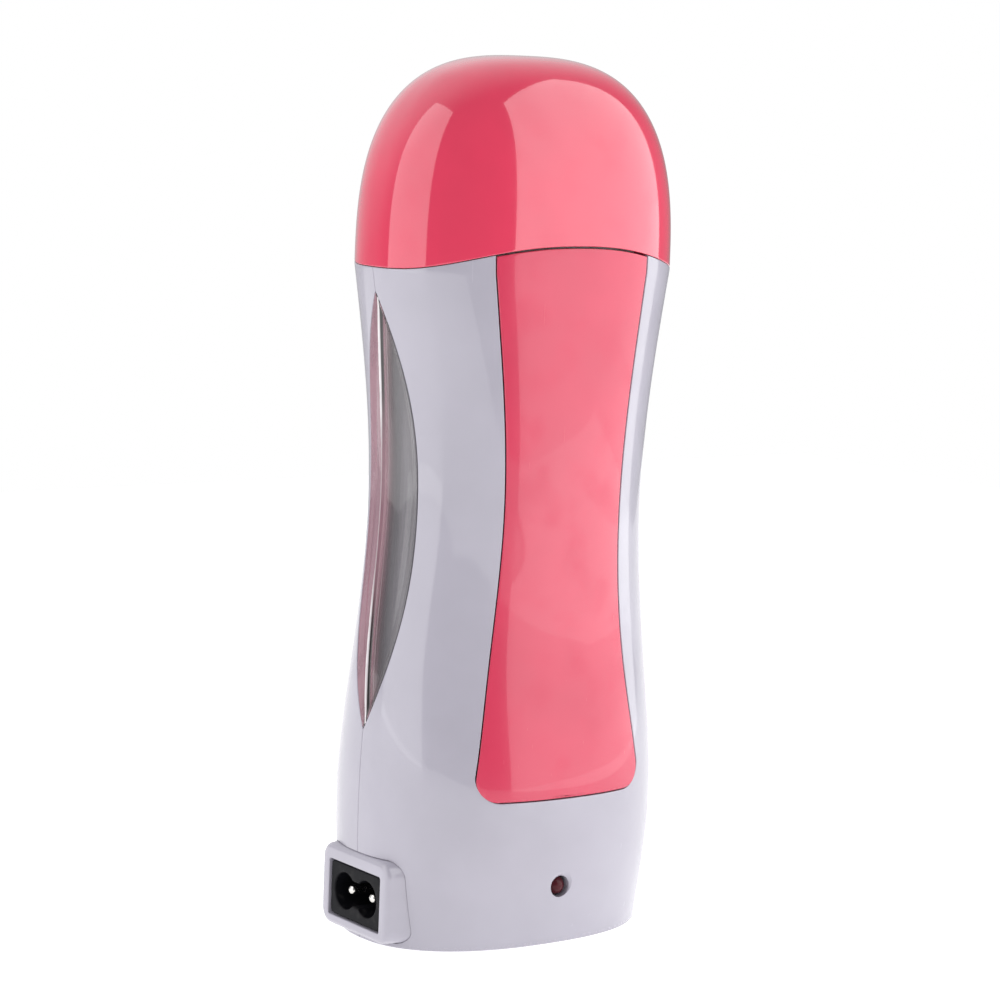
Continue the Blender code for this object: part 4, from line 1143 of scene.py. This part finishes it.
nickel = Finish("nickel plate", Metallic=1.0)
spots = nickel.ramp(nickel.noise(0.7 * mm, 4), 0.55, 0.75)
nickel.patterned(spots, (0.74, 0.72, 0.69), (0.50, 0.47, 0.43), 0.16, 0.25)
nickel.bump(nickel.noise(0.3 * mm, 2), 0.004 * mm)
nickel.cover("front_inlet_pin", "rear_inlet_pin", "thermal_fuse", *screws)

# %% [markdown]
# ## Socket, lamp and what is inside
#
# The socket is black glass-filled nylon with a fine spark-eroded grain. The lamp is a dark red diode.
# Inside are a film heater on each side of the well, a mica shield, a snap-action thermostat, a small board
# and sleeved wires. They show through the windows and when the cap is off, so each has its own finish.

# %% Socket and lamp
black = Finish("black nylon", IOR=1.3, Specular_IOR_Level=0.2, Coat_Roughness=0.15)
grain = black.noise(0.25 * mm, 2)
rubbed = black.ramp(black.noise(2.5 * mm, 4), 0.5, 0.8)
black.set("Base Color", black.mix(rubbed, (0.006, 0.006, 0.008), (0.022, 0.021, 0.022)))
black.set("Roughness", 0.3 + 0.12 * grain + 0.15 * rubbed)
black.set("Coat Weight", 0.06 * rubbed)
black.bump(grain, 0.006 * mm)
black.cover("inlet_socket")

red = Finish("red diode epoxy", IOR=1.4, Specular_IOR_Level=0.25, Coat_Weight=0.05, Roughness=0.15)
depth = red.ramp(red.place(1), float(lamp_low.y), float(lamp_low.y) + 2.4 * mm)
swirl = red.noise(0.8 * mm, 3)
red.set("Base Color", red.mix(depth + 0.3 * swirl, (0.085, 0.012, 0.018), (0.035, 0.005, 0.007)))
red.bump(swirl, 0.01 * mm)
red.cover("pilot_lamp")

# %% Film heaters, shield and thermostat
film = Finish("film heater", IOR=1.6, Coat_Roughness=0.08)
track_pitch, track_half = 2.4 * mm, 8.6 * mm
stripes = (film.place(2) / track_pitch).fract() > 0.45
track = stripes * ((film.place(0) * film.place(0)) < track_half ** 2)
film.set("Base Color", film.mix(track, (0.30, 0.12, 0.025), (0.45, 0.27, 0.12)))
film.set("Roughness", 0.25 + 0.2 * film.noise(3 * mm, 3))
film.set("Coat Weight", 0.4 + 0.3 * film.noise(5 * mm, 1))
film.bump(track, 0.03 * mm)
film.cover("front_heater", "rear_heater")

mica = Finish("mica board", IOR=1.5)
flake_size = mm / 0.7
flakes = mica.node("TexVoronoi", {"feature": "F1"}, {"Vector": mica.place(), "Scale": 1 / flake_size})
mica.patterned(flakes, (0.42, 0.36, 0.25), (0.66, 0.60, 0.48), 0.35, 0.4)
mica.bump(flakes, 0.03 * mm)
mica.cover("heat_shield")

bakelite = Finish("bakelite", IOR=1.55)
mottle = bakelite.noise(1.2 * mm, 4)
bakelite.patterned(mottle, (0.015, 0.012, 0.010), (0.05, 0.04, 0.035), 0.35, 0.25)
bakelite.bump(mottle, 0.02 * mm)
bakelite.cover("thermostat")

# %% Board and its parts
board = Finish("board varnish", IOR=1.55, Coat_Roughness=0.1)
thread = 0.5 * mm
weave = (board.place(0) / thread).fract() * (board.place(2) / thread).fract()
copper = board.ramp(board.noise(4 * mm, 0, stretch=(1, 1, 0.4)), 0.52, 0.54)
board.set("Base Color", board.mix(copper, (0.02, 0.14, 0.05), (0.05, 0.30, 0.09)))
board.set("Roughness", 0.3 + 0.15 * weave)
board.set("Coat Weight", 0.5 + 0.2 * copper)
board.bump(copper + 0.2 * weave, 0.03 * mm)
board.cover("circuit_board")


def banded(name, base, bands, node):
    """A small moulded part with painted rings: each band is a place along X, a half width and a colour."""
    finish = Finish(name, IOR=1.5)
    colour = finish.mix(finish.noise(1 * mm, 3), base, tint(base, 0.8))
    across = finish.place(0)
    for middle, half, paint in bands:
        inside = (across > middle - half) * (across < middle + half)
        colour = finish.mix(inside, colour, paint)
    finish.set("Base Color", colour)
    finish.set("Roughness", 0.35 + 0.2 * finish.noise(0.8 * mm, 2))
    finish.bump(finish.noise(0.4 * mm, 2), 0.01 * mm)
    finish.cover(node)


ring_half = 0.3 * mm
code = [(-1.8 * mm, ring_half, (0.25, 0.05, 0.02)), (-0.8 * mm, ring_half, (0.02, 0.02, 0.02)),
        (0.2 * mm, ring_half, (0.55, 0.12, 0.02)), (1.9 * mm, ring_half, (0.50, 0.36, 0.10))]
banded("resistor body", (0.55, 0.42, 0.24), code, "lamp_resistor")
banded("diode body", (0.02, 0.02, 0.022), [(1.4 * mm, 0.4 * mm, (0.6, 0.6, 0.6))], "lamp_diode")


# %% Wires
def sleeve(name, colour, *nodes):
    """Soft PVC: slightly uneven colour, a matt skin and shallow dents from bending."""
    finish = Finish(name, IOR=1.5)
    uneven = finish.noise(2.5 * mm, 3)
    finish.patterned(uneven, colour, tint(colour, 0.7), 0.38, 0.2)
    finish.bump(finish.noise(0.8 * mm, 2), 0.02 * mm)
    finish.cover(*nodes)


sleeve("brown sleeve", (0.22, 0.08, 0.03), "live_wire")
sleeve("red sleeve", (0.50, 0.03, 0.03), "heater_wire")
sleeve("blue sleeve", (0.03, 0.10, 0.42), "neutral_wire", "fuse_wire")

# %% [markdown]
# ## Table, camera and light
#
# The heater stands on a plain white table. The camera is low and to the left of the front, so that the grip
# panel and the window both show. Two large soft boxes light it, one to the right of the camera and a
# narrower one far round to the left. Glossy plastic mirrors them, which gives the cap its broad pale patch
# and its slim strip, with the plain colour between them.

# %% Table
table_half = 0.7
table_mesh = bpy.data.meshes.new("table")
table_mesh.from_pydata([(x * table_half, y * table_half, 0) for x, y in ((-1, -1), (1, -1), (1, 1), (-1, 1))],
                       [], [(0, 1, 2, 3)])
table = bpy.data.objects.new("table", table_mesh)
bpy.context.scene.collection.objects.link(table)
pieces["table"] = table
paint = Finish("white table", Roughness=0.6, Emission_Strength=0.80, Emission_Color=(1.0, 1.0, 1.0))
paint.set("Base Color", paint.mix(paint.noise(0.2, 2), (0.54, 0.54, 0.54), (0.56, 0.56, 0.56)))
paint.cover("table")

# %% Camera
azimuth, elevation, roll = math.radians(-35.8), math.radians(7.48), math.radians(2.23)
distance = 0.730
towards = Vector((0, 0, height / 2))
level = math.cos(elevation)
back = Vector((math.sin(azimuth) * level, -math.cos(azimuth) * level, math.sin(elevation)))
right = Vector((math.cos(azimuth), math.sin(azimuth), 0))
up = back.cross(right)
rolled_right = right * math.cos(roll) + up * math.sin(roll)
rolled_up = up * math.cos(roll) - right * math.sin(roll)
camera_data = bpy.data.cameras.new("camera")
camera_data.sensor_width = 36
camera_data.lens = 114.4
camera_data.shift_x = -0.0052
camera_data.shift_y = -0.0053
camera = bpy.data.objects.new("camera", camera_data)
bpy.context.scene.collection.objects.link(camera)
frame_of_view = Matrix((rolled_right, rolled_up, back)).transposed().to_4x4()
camera.matrix_world = Matrix.Translation(towards + back * distance) @ frame_of_view
bpy.context.scene.camera = camera
print("camera at", [round(value, 3) for value in camera.location])


# %% Soft boxes
def softbox(name, azimuth, distance, width, high_z, radiance, low_z=0.002):
    """An upright rectangle of light that faces the heater. Power is radiance times pi times area."""
    tall = high_z - low_z
    light = bpy.data.lights.new(name, "AREA")
    light.shape = "RECTANGLE"
    light.size = width
    light.size_y = tall
    light.energy = radiance * math.pi * width * tall
    box = bpy.data.objects.new(name, light)
    turn = math.radians(azimuth)
    box.location = (distance * math.sin(turn), -distance * math.cos(turn), (low_z + high_z) / 2)
    box.rotation_euler = (math.pi / 2, 0, turn)
    box.visible_camera = False
    bpy.context.scene.collection.objects.link(box)
    print(name, "spans", round(2 * math.degrees(math.atan(width / 2 / distance))), "degrees")


softbox("right softbox", 48, distance=0.45, width=0.76, high_z=1.05, radiance=1.75)
softbox("left softbox", -94, distance=0.55, width=0.58, high_z=1.10, radiance=1.38)

# %% Surroundings
world = bpy.data.worlds.new("studio")
studio = Graph(world)
studio.tree.nodes.remove(studio.tree.nodes["Background"])
direction = studio.node("TexCoord", output="Generated")
dot, smooth = {"operation": "DOT_PRODUCT"}, {"interpolation_type": "SMOOTHSTEP"}
up_and_back = studio.node("VectorMath", dot, {0: direction, 1: (0, 0.7, 0.7)}, output="Value")
limits = {"From Min": 0.35, "From Max": 1.0, "To Min": 0.27, "To Max": 0.95}
brighter_there = studio.node("MapRange", smooth, {"Value": up_and_back, **limits})
white_paper = studio.node("Background", values={"Color": (1, 1, 1), "Strength": 1.0})
room = studio.node("Background", values={"Color": (0.98, 0.98, 1), "Strength": brighter_there})
seen = studio.node("LightPath", output="Is Camera Ray")
either = studio.node("MixShader", values={0: seen, 1: room, 2: white_paper})
studio.feed(studio.tree.nodes["World Output"].inputs["Surface"], either)
bpy.context.scene.world = world
bpy.context.scene.view_settings.view_transform = "Standard"

# %% [markdown]
# ## Sizes, and done
#
# The last cell prints the box of the CAD model. The finished model should have the same box, because
# nothing here changes the size of the real thing.

# %% Print the CAD box
print("CAD box", np.round(np.array(cad_box) / mm, 2).tolist())
